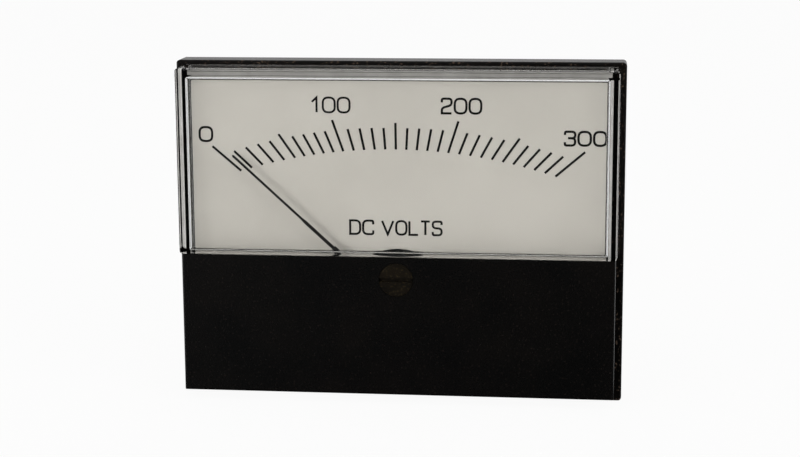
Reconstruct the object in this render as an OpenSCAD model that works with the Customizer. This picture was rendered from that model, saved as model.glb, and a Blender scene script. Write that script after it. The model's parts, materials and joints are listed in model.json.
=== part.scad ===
// Analog panel meter with a rectangular face, a clear window over a printed dial, a black lower mask
// and a moving-coil movement in a round barrel behind the panel.
//
// Frame: the origin is on the barrel's axis in the panel plane, which is the flange's back face.
// +X is to the right seen from the front, +Y goes into the panel and +Z is up. Millimetres.
// Depths run along Y, so everything in front of the panel has a negative Y.

/* [Flange and case] */
// Width of the flange
flange_w = 107; // [104:0.5:120]
// Height of the flange
flange_h = 81.6; // [80:0.2:96]
// Depth of the flange in front of the panel
flange_d = 7.6; // [7:0.2:10]
// Radius of the flange's corners
flange_corner_r = 1; // [0.4:0.1:3]
// Radius of the flange's front and back edges
flange_edge_r = 0.5; // [0.2:0.1:0.6]
// Thickness of the flange's floor
floor_t = 2.5; // [1.5:0.1:3]
// Width of the flange's side rails, from the outside to the hollow
side_rail = 4.6; // [3.8:0.1:4.9]
// Width of the flange's top rail
top_rail = 2.2; // [1.6:0.1:2.4]
// Width of the flange's bottom rail
bottom_rail = 4.9; // [4.4:0.1:5.2]
// Outer radius of the barrel
barrel_r = 35; // [33.6:0.1:36]
// Length of the barrel behind the panel
barrel_len = 30; // [29:0.5:45]
// Thickness of the barrel's wall
barrel_wall = 2; // [1.5:0.1:2.2]
// Chamfer round the barrel's rear edge
barrel_chamfer = 1; // [0.3:0.1:1.5]

/* [Mounting studs] */
// Distance between the studs across the meter
stud_pitch_x = 86; // [84:0.5:88]
// Distance between the studs up the meter
stud_pitch_z = 62; // [59:0.5:63]
// Radius of a mounting stud
stud_r = 2; // [1.4:0.1:2.4]
// Length of a mounting stud behind the panel
stud_len = 16; // [8:0.5:25]
// Depth of a stud's root in its boss
stud_root = 5; // [3:0.5:5.5]
// Radius of a stud's root in its boss
stud_root_r = 2.6; // [2.5:0.1:2.8]
// Radius of the boss round a stud's root
stud_boss_r = 4; // [3.2:0.1:4.4]

/* [Clear cover] */
// Rim of the flange left bare beside the cover
cover_side_rim = 1.54; // [1:0.02:1.8]
// Rim of the flange left bare above the cover
cover_top_rim = 1.08; // [0.6:0.02:1.4]
// Distance from the mask's front to the window's front
window_proud = 1; // [0.4:0.1:2]
// Thickness of the window's front
window_t = 2; // [1.2:0.1:2.3]
// Thickness of the window's side and top walls
window_wall = 2.2; // [1.6:0.1:2.4]
// Height of the ledge along the window's lower edge
ledge_h = 0.6; // [0.6:0.1:1.5]
// Radius of the window's front edges
window_edge_r = 0.6; // [0.2:0.1:1]
// Radius of the fillets inside the window
window_fillet_r = 0.8; // [0.4:0.1:1]
// Thickness of the cover's lower wall, behind the mask
lower_t = 1.2; // [0.8:0.1:1.3]
// Thickness of the cover's lower side and bottom walls
lower_wall = 1.5; // [1.2:0.1:1.8]
// Width of each tongue that hooks the cover's top behind the flange
tongue_w = 8; // [4:0.5:12]
// Distance between the two tongues
tongue_pitch = 58; // [40:1:66]
// Distance between the cover's screws
cover_screw_pitch = 60; // [58:0.5:64]
// Height of the cover's screws above the bottom of its hollow
cover_screw_rise = 3.1; // [2.8:0.1:3.5]

/* [Lower mask] */
// Rim of the flange left bare beside the mask
mask_side_rim = 1.86; // [1.5:0.02:2.1]
// Rim of the flange left bare below the mask
mask_bottom_rim = 2.3; // [1.8:0.1:2.6]
// Height of the mask
mask_h = 33.7; // [32:0.1:35]
// Distance from the flange's front to the mask's front
mask_depth = 7.9; // [7.6:0.1:9]
// Thickness of the mask's front
mask_t = 1.5; // [1:0.1:1.6]
// Thickness of the mask's skirt
mask_wall = 1.5; // [1:0.1:1.6]
// Radius of the mask's front edges
mask_edge_r = 0.5; // [0.2:0.1:0.9]
// Radius of the mask's pegs
peg_r = 1.1; // [0.7:0.1:1.4]

/* [Dial] */
// Thickness of the dial plate
dial_t = 0.6; // [0.4:0.1:0.7]
// Gap between the flange's front and the dial's back
dial_lift = 1.3; // [1:0.1:1.4]
// Clearance between the dial's edge and the window's walls
dial_clear = 0.4; // [0.2:0.05:0.8]
// Distance from the window's lower edge down to the dial's lower edge
dial_tuck = 7.3; // [5:0.1:7.8]
// Radius of the arch that the dial leaves open above the pivot
arch_r = 13.7; // [12.7:0.1:14]
// Distance between the dial's screws
dial_screw_pitch = 80; // [74:0.5:86]
// Distance from the window's lower edge down to the dial's screws
dial_screw_drop = 9.3; // [8.5:0.1:12]

/* [Pointer] */
// Distance from the barrel's axis down to the pivot
pivot_drop = 17.5; // [17.2:0.1:17.7]
// Angle of the resting pointer, anticlockwise from upright
rest_angle = 47.5; // [35:0.1:49.5]
// Angle of the pointer at each stop, from upright
stop_angle = 52.5; // [51:0.1:53]
// Distance from the pivot to the pointer's tip
pointer_len = 53.5; // [45:0.5:54]
// Distance from the pivot to where the pointer's arm becomes the needle
arm_len = 30; // [25:0.2:38]
// Width of the pointer's arm
arm_w = 0.75; // [0.6:0.05:1]
// Width of the needle
needle_w = 0.45; // [0.25:0.05:0.6]
// Thickness of the pointer
pointer_t = 0.35; // [0.2:0.05:0.5]
// Height of the pointer above the dial
pointer_lift = 2.2; // [2:0.1:2.6]
// Distance from the pivot to the stops
stop_reach = 16.8; // [16:0.1:18]
// Radius of a stop
stop_r = 0.8; // [0.5:0.05:1]

/* [Moving coil] */
// Radius of the core magnet
core_r = 7.2; // [6.6:0.1:7.4]
// Length of the core magnet
core_len = 12; // [11:0.1:12.2]
// Distance from the flange's front back to the core's front
core_setback = 2.4; // [2.3:0.1:2.8]
// Air gap between the core and the coil's former
former_gap = 0.5; // [0.3:0.05:0.6]
// Thickness of the former
former_t = 0.3; // [0.2:0.05:0.4]
// Thickness of the winding at the coil's sides
winding_t = 0.9; // [0.6:0.05:1]
// Width of the coil
coil_w = 3.4; // [2.4:0.1:3.6]
// Thickness of the winding at the coil's ends
winding_end_t = 1.2; // [0.8:0.05:1.2]
// Inner radius of the yoke ring
yoke_in_r = 10.2; // [10:0.05:10.4]
// Outer radius of the yoke ring
yoke_out_r = 15; // [14.8:0.1:15.2]
// Radius of the pivots' shanks
shank_r = 0.6; // [0.4:0.05:0.62]
// Radius of the tail weight
tail_weight_r = 1.3; // [1:0.05:1.4]
// Length of the tail weight
tail_weight_len = 2.15; // [0.8:0.05:2.6]
// Length of each side weight
side_weight_len = 1.6; // [0.8:0.1:2.4]
// Number of turns in a hairspring
spring_turns = 4; // [3:1:5]
// Outer radius of a hairspring
spring_r = 5.5; // [5:0.1:5.8]

/* [Zero adjuster] */
// Distance from the pivot up to the adjuster's axis
adjuster_rise = 7.2; // [6.8:0.1:7.2]
// Radius of the adjuster's head
adjuster_r = 4; // [2.9:0.1:4]
// Width of the adjuster's screwdriver slot
adjuster_slot_w = 0.9; // [0.6:0.05:1.2]
// Depth of the adjuster's screwdriver slot
adjuster_slot_d = 0.8; // [0.4:0.05:0.9]
// Radius of the adjuster's shaft
adjuster_shaft_r = 1.7; // [1.6:0.05:1.9]
// Radius of the bushing that the adjuster's shaft turns in
bushing_r = 4.2; // [3.8:0.1:4.4]
// Radius of the bushing's flange
bushing_flange_r = 5; // [4.8:0.1:5.2]
// Distance from the adjuster's axis to its pin
pin_offset = 0.9; // [0.6:0.05:1]
// Radius of the adjuster's pin
pin_r = 0.6; // [0.4:0.05:0.6]
// Clearance each side of the pin in the zero lever's fork
fork_clear = 0.1; // [0.08:0.01:0.15]

/* [Bridges and movement plate] */
// Half the length of a bridge
bridge_reach = 15.2; // [15:0.1:16]
// Half the height of a bridge
bridge_half_h = 2.5; // [2.3:0.1:2.8]
// Thickness of the front bridge
front_bridge_t = 1; // [0.8:0.05:1]
// Thickness of the rear bridge
rear_bridge_t = 1.2; // [0.9:0.05:1.5]
// Distance from the pivot to a bridge's pillars
pillar_reach = 12.6; // [12.4:0.05:12.8]
// Radius of a front pillar
pillar_r = 1.5; // [1.3:0.05:1.6]
// Thickness of the movement plate
plate_t = 2; // [1.6:0.1:2]
// Half the width of the movement plate
plate_reach = 25.5; // [25:0.1:26]
// Distance from the middle to a movement screw
movement_screw_reach = 21.5; // [21:0.1:21.8]
// Distance from the barrel's axis down to the movement screws
movement_screw_drop = 14; // [13:0.1:15]

/* [Terminals] */
// Distance between the terminals
terminal_pitch = 35; // [34:0.5:37]
// Distance from the barrel's axis up to the terminals
terminal_rise = 14; // [12:0.2:15]
// Radius of a terminal stud
terminal_r = 2.4; // [1.9:0.05:2.5]
// Depth of a terminal stud's thread
terminal_thread = 0.5; // [0.4:0.05:0.6]
// Length of a terminal stud behind the barrel
terminal_len = 15; // [13:0.5:22]
// Width of a terminal nut across its flats
nut_af = 8; // [7:0.1:9]
// Thickness of a terminal nut
nut_t = 3; // [2:0.1:3.4]
// Thickness of a terminal washer
washer_t = 1; // [0.5:0.1:1.2]
// Thickness of a solder lug
lug_t = 0.8; // [0.5:0.05:1]
// Radius of the multiplier resistor
resistor_r = 2.6; // [2:0.1:3]
// Length of the multiplier resistor
resistor_len = 16; // [12:0.5:18]
// Radius of a lead wire
wire_r = 0.6; // [0.4:0.05:0.7]

/* [Hidden] */
$fn = 96;

// Fits
fit = 0.05;        // radial clearance of a screw, peg or stud in its hole
running = 0.06;    // radial clearance of a piece that turns
seam = 0.1;        // gap between the mask and the cover
shake = 0.1;       // end play of the zero lever

// Depths of the face, front to back
y_flange = -flange_d;
y_mask = y_flange - mask_depth;
y_window = y_mask - window_proud;
y_window_in = y_window + window_t;
y_mask_in = y_mask + mask_t;
y_lower = y_mask_in + seam;
y_lower_in = y_lower + lower_t;

// Outline of the face
half_w = flange_w / 2;
half_h = flange_h / 2;
cover_x = half_w - cover_side_rim;
cover_top = half_h - cover_top_rim;
mask_x = half_w - mask_side_rim;
mask_bottom = mask_bottom_rim - half_h;
mask_top = mask_bottom + mask_h;
window_bottom = mask_top + seam;
// Top of the cover's lower side walls, low enough to be out of sight behind the mask
side_top = mask_top - 2;
skirt_gap = 0.2;
lower_x = mask_x - mask_wall - skirt_gap;
lower_bottom = mask_bottom + mask_wall + skirt_gap;
hollow_x = half_w - side_rail;
hollow_top = half_h - top_rail;
hollow_bottom = bottom_rail - half_h;

// Dial
y_dial_back = y_flange - dial_lift;
y_dial = y_dial_back - dial_t;
dial_x = cover_x - window_wall - dial_clear;
dial_low_x = lower_x - lower_wall - dial_clear;
dial_top = cover_top - window_wall - dial_clear;
dial_bottom = window_bottom - dial_tuck;
dial_screw_z = window_bottom - dial_screw_drop;
small_screw_r = 0.9;
small_head_r = 1.7;
small_head_t = 0.9;
ear_half_w = 6;
ear_below_screw = 3.2;
dial_rest_x = 34;
dial_rest_below_top = 3.5;

// Movement along the pivot axis
pivot_z = -pivot_drop;
y_core = y_flange + core_setback;
y_core_end = y_core + core_len;
y_former = y_core - former_gap - former_t;
y_former_end = y_core_end + former_gap + former_t;
y_coil = y_former - winding_end_t;
y_coil_end = y_former_end + winding_end_t;
base_t = 0.3;
y_base = y_coil - base_t;
cross_t = 0.7;
y_cross = y_base - cross_t;
y_root = y_cross - pointer_t;
y_pointer = y_dial - pointer_lift;
collet_t = 0.5;
spring_h = 0.4;
collet_gap = 0.2;
y_collet = y_root - collet_gap - collet_t;
y_front_bridge = y_collet - 0.3;
y_front_face = y_front_bridge - front_bridge_t;
lever_t = 0.6;
y_lever = y_front_face - shake - lever_t;
y_boss = y_lever - shake;
jewel_nut_t = 0.9;
y_front_screw = y_boss - jewel_nut_t - 0.1;
y_plate_end = y_core_end + plate_t;
y_rear_base = y_coil_end + base_t;
y_rear_collet = y_rear_base + 0.35;
y_rear_bridge = y_rear_collet + collet_t + 0.6;
y_rear_face = y_rear_bridge + rear_bridge_t;
boss_r = 2.2;
jewel_screw_r = 1.2;
jewel_r = 0.8;
jewel_len = 0.9;
jewel_nut_af = 5;
tap_depth = 4;
collet_r = 1.1;
former_x = core_r + former_gap;
coil_x = former_x + former_t + winding_t;
spring_t = 0.16;
tail_reach = 7;
side_reach = 6.1;
cross_wire_r = 0.3;
y_wire_axis = y_cross + cross_wire_r;
side_weight_r = 0.62;

// Zero adjuster
adjuster_z = pivot_z + adjuster_rise;
head_t = mask_t - 0.2;
clip_t = 0.4;
y_clip = y_lower_in + fit;
clip_r = 2.9;
y_shaft_end = y_clip + clip_t + fit;
groove_r = adjuster_shaft_r - 0.4;
bushing_flange_t = 0.5;
pin_reach = adjuster_rise + pin_offset;

// Screws and bosses
cover_screw_r = 1.25;
cover_screw_head_r = 2.5;
cover_screw_head_t = 1.7;
cover_boss_r = 2.6;
cover_screw_x = cover_screw_pitch / 2;
cover_screw_z = hollow_bottom + cover_screw_rise;
peg_x = lower_x - 5;
peg_rows = [mask_top - 4.2, mask_bottom + 5.2];
dial_post_r = 2.6;
movement_boss_r = 3.2;
movement_screw_r = 1.25;
movement_screw_head_r = 2.5;
movement_screw_head_t = 1.6;
plate_below_screws = 9;
plate_above_screws = 8;
plate_corner_r = 4;
plate_window_gap = 0.7;

// Terminals
y_barrel_end = barrel_len;
y_barrel_in = barrel_len - barrel_wall;
terminal_x = terminal_pitch / 2;
lug_r = 4;
lug_tail = 8;
lug_w = 3;
head_h = 3.2;
y_lug = y_barrel_in - lug_t;
y_terminal = y_lug - head_h;
nut_pitch = nut_t + washer_t;
nut_mesh_r = terminal_r - terminal_thread / 2;
y_free_thread = y_barrel_end + 2 * nut_pitch + 0.3;
resistor_z = terminal_rise + 10;
resistor_y = y_terminal - 4;
lead_r = 0.4;

// ---- Helpers -------------------------------------------------------------------------------------

// Extrudes an outline drawn in X and Z from depth y0 to depth y1.
module along_y(y0, y1) {
    translate([0, y1, 0]) rotate([90, 0, 0]) linear_extrude(height = y1 - y0) children();
}

// Round bar along Y.
module rod(r, y0, y1, x = 0, z = 0) {
    translate([x, y1, z]) rotate([90, 0, 0]) cylinder(r = r, h = y1 - y0);
}

// Cone along Y, of radius r0 at depth y0 and r1 at depth y1.
module cone(r0, r1, y0, y1, x = 0, z = 0) {
    translate([x, y1, z]) rotate([90, 0, 0]) cylinder(r1 = r1, r2 = r0, h = y1 - y0);
}

// Hexagonal nut blank along Y.
module hex(af, y0, y1, x = 0, z = 0) {
    translate([x, y1, z]) rotate([90, 0, 0]) cylinder(d = af / cos(30), h = y1 - y0, $fn = 6);
}

// Hexagonal nut or head along Y whose corners are turned off at both faces.
module nut(af, y0, y1) {
    corner_r = af / 2 / cos(30);
    face_r = af / 2 - 0.1;
    turned = (corner_r - face_r) * tan(30);
    intersection() {
        hex(af, y0, y1);
        union() {
            cone(face_r, corner_r + fit, y0, y0 + turned);
            rod(corner_r + fit, y0 + turned, y1 - turned);
            cone(corner_r + fit, face_r, y1 - turned, y1);
        }
    }
}

// Rectangle from corner a to corner b with rounded corners.
module rounded(a, b, r) {
    translate([a[0] + r, a[1]]) square([b[0] - a[0] - 2 * r, b[1] - a[1]]);
    translate([a[0], a[1] + r]) square([b[0] - a[0], b[1] - a[1] - 2 * r]);
    for (x = [a[0] + r, b[0] - r], z = [a[1] + r, b[1] - r]) translate([x, z]) circle(r);
}

// Rectangle from corner a to corner b.
module rect(a, b) {
    translate(a) square([b[0] - a[0], b[1] - a[1]]);
}

// Block from y0 back to y1 whose front edges are rounded by r, and whose corners by corner. The back
// edges are rounded too if asked for.
module soft_block(a, b, y0, y1, r, corner, soft_back = false) {
    y_far = soft_back ? y1 : y1 + 2 * r;
    intersection() {
        along_y(y0, y1) rounded(a, b, corner);
        translate([0, 0, a[1]]) linear_extrude(height = b[1] - a[1]) rounded([a[0], y0], [b[0], y_far], r);
        translate([a[0], 0, 0]) rotate([90, 0, 90]) linear_extrude(height = b[0] - a[0])
            rounded([y0, a[1]], [y_far, b[1]], r);
    }
}

// Places a copy on each side of the middle.
module both_sides(x) {
    for (side = [-1, 1]) translate([side * x, 0, 0]) children();
}

// Turns the moving parts, drawn with the pointer upright above the origin, to the resting angle.
module at_rest() {
    translate([0, 0, pivot_z]) rotate([0, -rest_angle, 0]) children();
}

module at_pivot() {
    translate([0, 0, pivot_z]) children();
}

// Point at share t of a smooth curve through the points of a path, which leaves and arrives straight.
function curve_point(path, t) =
    let (
        last = len(path) - 1,
        i = min(floor(t * last), last - 1),
        u = t * last - i,
        a = path[max(i - 1, 0)], b = path[i], c = path[i + 1], d = path[min(i + 2, last)]
    )
    b + u * (c - a) / 2 + u * u * (a - 2.5 * b + 2 * c - d / 2)
        + u * u * u * (-a / 2 + 1.5 * b - 1.5 * c + d / 2);

// Round wire swept along a path, as rings of sides joined by quadrilaterals. Each ring lies square to
// the curve, and its first direction stays square to the given one, so the tube doesn't twist.
module wire(path, r, across, rings = 16, sides = 8) {
    spots = [for (k = [0 : rings]) curve_point(path, k / rings)];
    heads = [for (k = [0 : rings]) let (d = spots[min(k + 1, rings)] - spots[max(k - 1, 0)]) d / norm(d)];
    points = [for (k = [0 : rings]) let (
        u = cross(heads[k], across) / norm(cross(heads[k], across)), v = cross(heads[k], u)
    ) for (j = [0 : sides - 1]) spots[k] + r * (cos(360 * j / sides) * u + sin(360 * j / sides) * v)];
    walls = [for (k = [0 : rings - 1], j = [0 : sides - 1])
        let (a = k * sides + j, b = k * sides + (j + 1) % sides)
        each [[a, a + sides, b + sides], [a, b + sides, b]]];
    polyhedron(points, concat(
        [[for (j = [0 : sides - 1]) j]], walls,
        [[for (j = [sides - 1 : -1 : 0]) rings * sides + j]]
    ));
}

// Point of an Archimedean spiral, from radius r0 to r1 in the given number of turns.
function spiral_point(r0, r1, turns, share, end_angle) =
    let (r = r0 + (r1 - r0) * share, a = end_angle - 360 * turns * (1 - share))
    [r * cos(a), r * sin(a)];

// Spiral strip whose outer end lies at end_angle from +X.
module spiral(r0, r1, turns, t, end_angle) {
    steps = turns * 20;
    outer = [for (i = [0 : steps]) spiral_point(r0 + t, r1, turns, i / steps, end_angle)];
    inner = [for (i = [steps : -1 : 0]) spiral_point(r0, r1 - t, turns, i / steps, end_angle)];
    polygon(concat(outer, inner));
}

// ---- Case and face -------------------------------------------------------------------------------

module case_base() {
    color("#151413") difference() {
        union() {
            difference() {
                soft_block([-half_w, -half_h], [half_w, half_h],
                    y_flange, 0, flange_edge_r, flange_corner_r, soft_back = true);
                along_y(y_flange - 1, -floor_t)
                    rect([-hollow_x, hollow_bottom], [hollow_x, hollow_top]);
            }
            rod(barrel_r, -floor_t, y_barrel_end - barrel_chamfer);
            cone(barrel_r, barrel_r - barrel_chamfer, y_barrel_end - barrel_chamfer, y_barrel_end);
            for (x = [-1, 1], z = [-1, 1])
                rod(stud_boss_r, y_flange + 1, -floor_t, x * stud_pitch_x / 2, z * stud_pitch_z / 2);
            both_sides(cover_screw_x) rod(cover_boss_r + 0.4, y_flange, -floor_t, z = cover_screw_z);
            both_sides(dial_screw_pitch / 2)
                rod(dial_post_r, y_dial_back, -floor_t, z = dial_screw_z);
            both_sides(dial_rest_x)
                rod(dial_post_r, y_dial_back, -floor_t, z = dial_top - dial_rest_below_top);
        }
        difference() {
            rod(barrel_r - barrel_wall, -floor_t - 1, y_barrel_in);
            both_sides(movement_screw_reach)
                rod(movement_boss_r, y_plate_end, y_barrel_in + 1, z = -movement_screw_drop);
        }
        both_sides(movement_screw_reach)
            rod(movement_screw_r + fit, y_plate_end - 1, y_plate_end + 9, z = -movement_screw_drop);
        for (x = [-1, 1], z = [-1, 1])
            rod(stud_root_r + fit, -stud_root, 1, x * stud_pitch_x / 2, z * stud_pitch_z / 2);
        both_sides(cover_screw_x) {
            rod(cover_screw_r + fit, y_flange - 1, 1, z = cover_screw_z);
            rod(cover_screw_head_r + 0.3, -cover_screw_head_t - 0.3, 1, z = cover_screw_z);
        }
        both_sides(dial_screw_pitch / 2)
            rod(small_screw_r + fit, y_dial_back - 1, -floor_t - 0.5, z = dial_screw_z);
        both_sides(terminal_x) rod(terminal_r + fit, y_barrel_in - 1, y_barrel_end + 1, z = terminal_rise);
    }
}

module front_cover() {
    color("#dfe6e8", 0.3) difference() {
        union() {
            soft_block([-cover_x, window_bottom], [cover_x, cover_top],
                y_window, y_flange, window_edge_r, flange_corner_r);
            along_y(y_lower, y_flange) rect([-lower_x, lower_bottom], [lower_x, window_bottom + ledge_h]);
            both_sides(tongue_pitch / 2) along_y(y_flange, -floor_t - 1)
                rect([-tongue_w / 2, cover_top - window_wall], [tongue_w / 2, hollow_top - fit]);
        }
        // room in front of the dial
        soft_block([-cover_x + window_wall, window_bottom + ledge_h],
            [cover_x - window_wall, cover_top - window_wall],
            y_window_in, y_flange + 1, window_fillet_r, window_fillet_r);
        // room behind the ledge, for the dial's lower corners
        along_y(y_lower_in, y_flange + 1) {
            rect([-cover_x + window_wall, window_bottom],
                [cover_x - window_wall, window_bottom + ledge_h + window_fillet_r]);
            rect([-lower_x - 1, side_top], [lower_x + 1, window_bottom]);
        }
        // room behind the mask, clear of the cover's two screw bosses
        difference() {
            along_y(y_lower_in, y_flange + 1)
                rect([-lower_x + lower_wall, lower_bottom + lower_wall],
                    [lower_x - lower_wall, window_bottom + ledge_h + 1]);
            both_sides(cover_screw_x) rod(cover_boss_r, y_lower, y_flange, z = cover_screw_z);
        }
        both_sides(cover_screw_x) rod(cover_screw_r + fit, y_lower_in, y_flange + 1, z = cover_screw_z);
        rod(bushing_r + fit, y_lower - 1, y_lower_in + 1, z = adjuster_z);
        rod(bushing_flange_r + fit, y_lower - 1, y_lower + bushing_flange_t, z = adjuster_z);
        for (z = peg_rows) both_sides(peg_x) rod(peg_r + fit, y_lower - 1, y_lower_in + 1, z = z);
    }
}

module lower_mask() {
    color("#0c0b0b") {
        difference() {
            soft_block([-mask_x, mask_bottom], [mask_x, mask_top + 2 * mask_edge_r],
                y_mask, y_flange, mask_edge_r, mask_edge_r);
            along_y(y_mask - 1, y_flange + 1)
                rect([-mask_x - 1, mask_top], [mask_x + 1, mask_top + 3]);
            along_y(y_mask_in, y_flange + 1)
                rect([-mask_x + mask_wall, mask_bottom + mask_wall], [mask_x - mask_wall, mask_top + 1]);
            rod(adjuster_r + 0.1, y_mask - 1, y_mask_in + 1, z = adjuster_z);
        }
        for (z = peg_rows) both_sides(peg_x) rod(peg_r, y_mask_in, y_lower_in + 0.2, z = z);
    }
}

module cover_screws() {
    color("#a9a9a6") both_sides(cover_screw_x) difference() {
        union() {
            rod(cover_screw_r, y_lower_in + 0.8, -cover_screw_head_t, z = cover_screw_z);
            rod(cover_screw_head_r, -cover_screw_head_t - 0.3, -0.3, z = cover_screw_z);
        }
        along_y(-1.1, 1) rect([-cover_screw_head_r - 1, cover_screw_z - 0.35],
            [cover_screw_head_r + 1, cover_screw_z + 0.35]);
    }
}

// Studs moulded into the flange by their wider roots.
module mounting_studs() {
    tip = 0.5;
    color("#b9a05a") for (x = [-1, 1], z = [-1, 1]) {
        rod(stud_root_r, -stud_root, 0, x * stud_pitch_x / 2, z * stud_pitch_z / 2);
        rod(stud_r, 0, stud_len - tip, x * stud_pitch_x / 2, z * stud_pitch_z / 2);
        cone(stud_r, stud_r - tip, stud_len - tip, stud_len, x * stud_pitch_x / 2, z * stud_pitch_z / 2);
    }
}

// ---- Zero adjuster -------------------------------------------------------------------------------

module zero_adjuster() {
    color("#2c2618") translate([0, 0, adjuster_z]) {
        difference() {
            rod(adjuster_r, y_mask, y_mask + head_t);
            along_y(y_mask - 1, y_mask + adjuster_slot_d)
                rect([-adjuster_r - 1, -adjuster_slot_w / 2], [adjuster_r + 1, adjuster_slot_w / 2]);
        }
        difference() {
            rod(adjuster_shaft_r, y_mask + head_t, y_shaft_end);
            difference() {
                rod(adjuster_shaft_r + 1, y_clip, y_clip + clip_t);
                rod(groove_r, y_clip - 1, y_clip + clip_t + 1);
            }
        }
        rod(pin_r, y_shaft_end, y_lever + lever_t + 0.1, z = pin_offset);
    }
}

// Flanged bushing let into the front of the cover's lower wall, where the mask keeps it in.
module adjuster_bushing() {
    color("#3a352c") translate([0, 0, adjuster_z]) difference() {
        union() {
            rod(bushing_r, y_lower, y_lower_in);
            rod(bushing_flange_r, y_lower, y_lower + bushing_flange_t);
        }
        rod(adjuster_shaft_r + running, y_lower - 1, y_lower_in + 1);
    }
}

// Snap ring with an open mouth, in the groove of the adjuster's shaft.
module adjuster_clip() {
    color("#8f8f8c") translate([0, 0, adjuster_z]) along_y(y_clip + 0.02, y_clip + clip_t - 0.02)
        difference() {
            circle(clip_r);
            circle(groove_r + fit);
            rect([-groove_r + 0.2, -clip_r - 1], [groove_r - 0.2, 0]);
            for (a = [30, 150]) rotate(a) translate([groove_r + 0.7, 0]) circle(0.45);
        }
}

// Lever that turns on the front bridge's boss: a fork round the adjuster's pin above, and below an
// arm whose bent end holds the front hairspring.
module zero_lever() {
    fork_w = 1.9;
    tab_w = 1.6;
    tab_t = 0.7;
    color("#b08d3e") at_pivot() {
        along_y(y_lever, y_lever + lever_t) difference() {
            union() {
                circle(boss_r + running + 1.1);
                rect([-fork_w, 0], [fork_w, pin_reach + pin_r + 0.5]);
                rect([-tab_w / 2, -spring_r - tab_t], [tab_w / 2, 0]);
            }
            circle(boss_r + running);
            rect([-pin_r - fork_clear, pin_reach - pin_r - 0.5],
                [pin_r + fork_clear, pin_reach + pin_r + 1]);
        }
        along_y(y_lever, y_collet + collet_t)
            rect([-tab_w / 2, -spring_r - tab_t], [tab_w / 2, -spring_r]);
    }
}

// ---- Dial ----------------------------------------------------------------------------------------

module dial_outline() {
    difference() {
        union() {
            rounded([-dial_x, side_top + dial_clear], [dial_x, dial_top], window_fillet_r);
            rect([-dial_low_x, dial_bottom], [dial_low_x, dial_top - 1]);
            both_sides(dial_screw_pitch / 2)
                rounded([-ear_half_w, dial_screw_z - ear_below_screw], [ear_half_w, dial_bottom + 4], 1.5);
        }
        translate([0, pivot_z]) circle(arch_r);
        both_sides(dial_screw_pitch / 2) translate([0, dial_screw_z]) circle(small_screw_r + fit);
        for (side = [-1, 1]) translate([side * stop_x, stop_z]) circle(stop_pin_r + fit);
    }
}

module dial_plate() {
    color("#c9c3b8") along_y(y_dial, y_dial_back) dial_outline();
}

// Cheese-head screw along Y whose head's front is at y and whose shank ends at y_end.
module small_screw(y, y_end, back = false) {
    shank = back ? [y_end, y - small_head_t] : [y + small_head_t, y_end];
    head = back ? [y - small_head_t, y] : [y, y + small_head_t];
    slot = back ? [y - 0.4, y + 1] : [y - 1, y + 0.4];
    difference() {
        union() {
            rod(small_screw_r, shank[0], shank[1]);
            rod(small_head_r, head[0], head[1]);
        }
        along_y(slot[0], slot[1]) rect([-small_head_r - 1, -0.25], [small_head_r + 1, 0.25]);
    }
}

module dial_screws() {
    color("#2b2a28") both_sides(dial_screw_pitch / 2) translate([0, 0, dial_screw_z])
        small_screw(y_dial - small_head_t, -floor_t - 1.2);
}

// The stops stand where the pointer's edge meets them at the stop angle.
stop_at = stop_angle + asin((stop_r + arm_w / 2 + fit) / stop_reach);
stop_x = stop_reach * sin(stop_at);
stop_z = pivot_z + stop_reach * cos(stop_at);
stop_pin_r = 0.4;

module pointer_stops() {
    color("#1a1a1a") both_sides(stop_x) {
        rod(stop_r, y_pointer - 0.3, y_dial, z = stop_z);
        rod(stop_pin_r, y_dial, y_dial_back + 0.3, z = stop_z);
    }
}

// ---- Moving system -------------------------------------------------------------------------------

// Side view of the arm, upright above the pivot: flat at the root, then forward through the dial's
// arch, then flat in the pointer's plane.
module pointer_side() {
    bend_in = arch_r - 4;
    bend_out = arch_r - 0.6;
    y1 = y_pointer;
    y2 = y_pointer + pointer_t;
    polygon([
        [y_root, shank_r + 0.4], [y_root + pointer_t, shank_r + 0.4], [y_root + pointer_t, bend_in + 0.3],
        [y2, bend_out + 0.3], [y2, arm_len], [y1, arm_len], [y1, bend_out], [y_root, bend_in]
    ]);
}

module pointer() {
    ferrule_w = 1.3;
    ferrule_at = 19.4;
    ferrule_len = 1.4;
    color("#141414") at_rest() {
        along_y(y_root, y_root + pointer_t) difference() {
            circle(shank_r + 1);
            circle(shank_r + fit);
        }
        translate([-arm_w / 2, 0, 0]) rotate([90, 0, 90]) linear_extrude(height = arm_w) pointer_side();
        along_y(y_pointer, y_pointer + pointer_t) {
            polygon([
                [-arm_w / 2, arm_len - 0.5], [arm_w / 2, arm_len - 0.5], [arm_w / 2, arm_len],
                [needle_w / 2, arm_len + 1.2], [needle_w / 2, pointer_len - 1.5],
                [needle_w / 6, pointer_len], [-needle_w / 6, pointer_len],
                [-needle_w / 2, pointer_len - 1.5], [-needle_w / 2, arm_len + 1.2], [-arm_w / 2, arm_len]
            ]);
            rect([-ferrule_w / 2, ferrule_at], [ferrule_w / 2, ferrule_at + ferrule_len]);
        }
    }
}

// Hub with three wires that carry the balance weights.
module balance_cross() {
    hub_r = 1.8;
    color("#8d8f8e") at_rest() difference() {
        union() {
            rod(hub_r, y_cross, y_base);
            translate([0, y_wire_axis, -tail_reach - tail_weight_len - 1.2])
                cylinder(r = cross_wire_r, h = tail_reach + tail_weight_len + 1.2, $fn = 24);
            translate([-side_reach - side_weight_len - 0.6, y_wire_axis, 0]) rotate([0, 90, 0])
                cylinder(r = cross_wire_r, h = 2 * (side_reach + side_weight_len + 0.6), $fn = 24);
        }
        rod(shank_r + fit, y_cross - 1, y_base + 1);
    }
}

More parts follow.
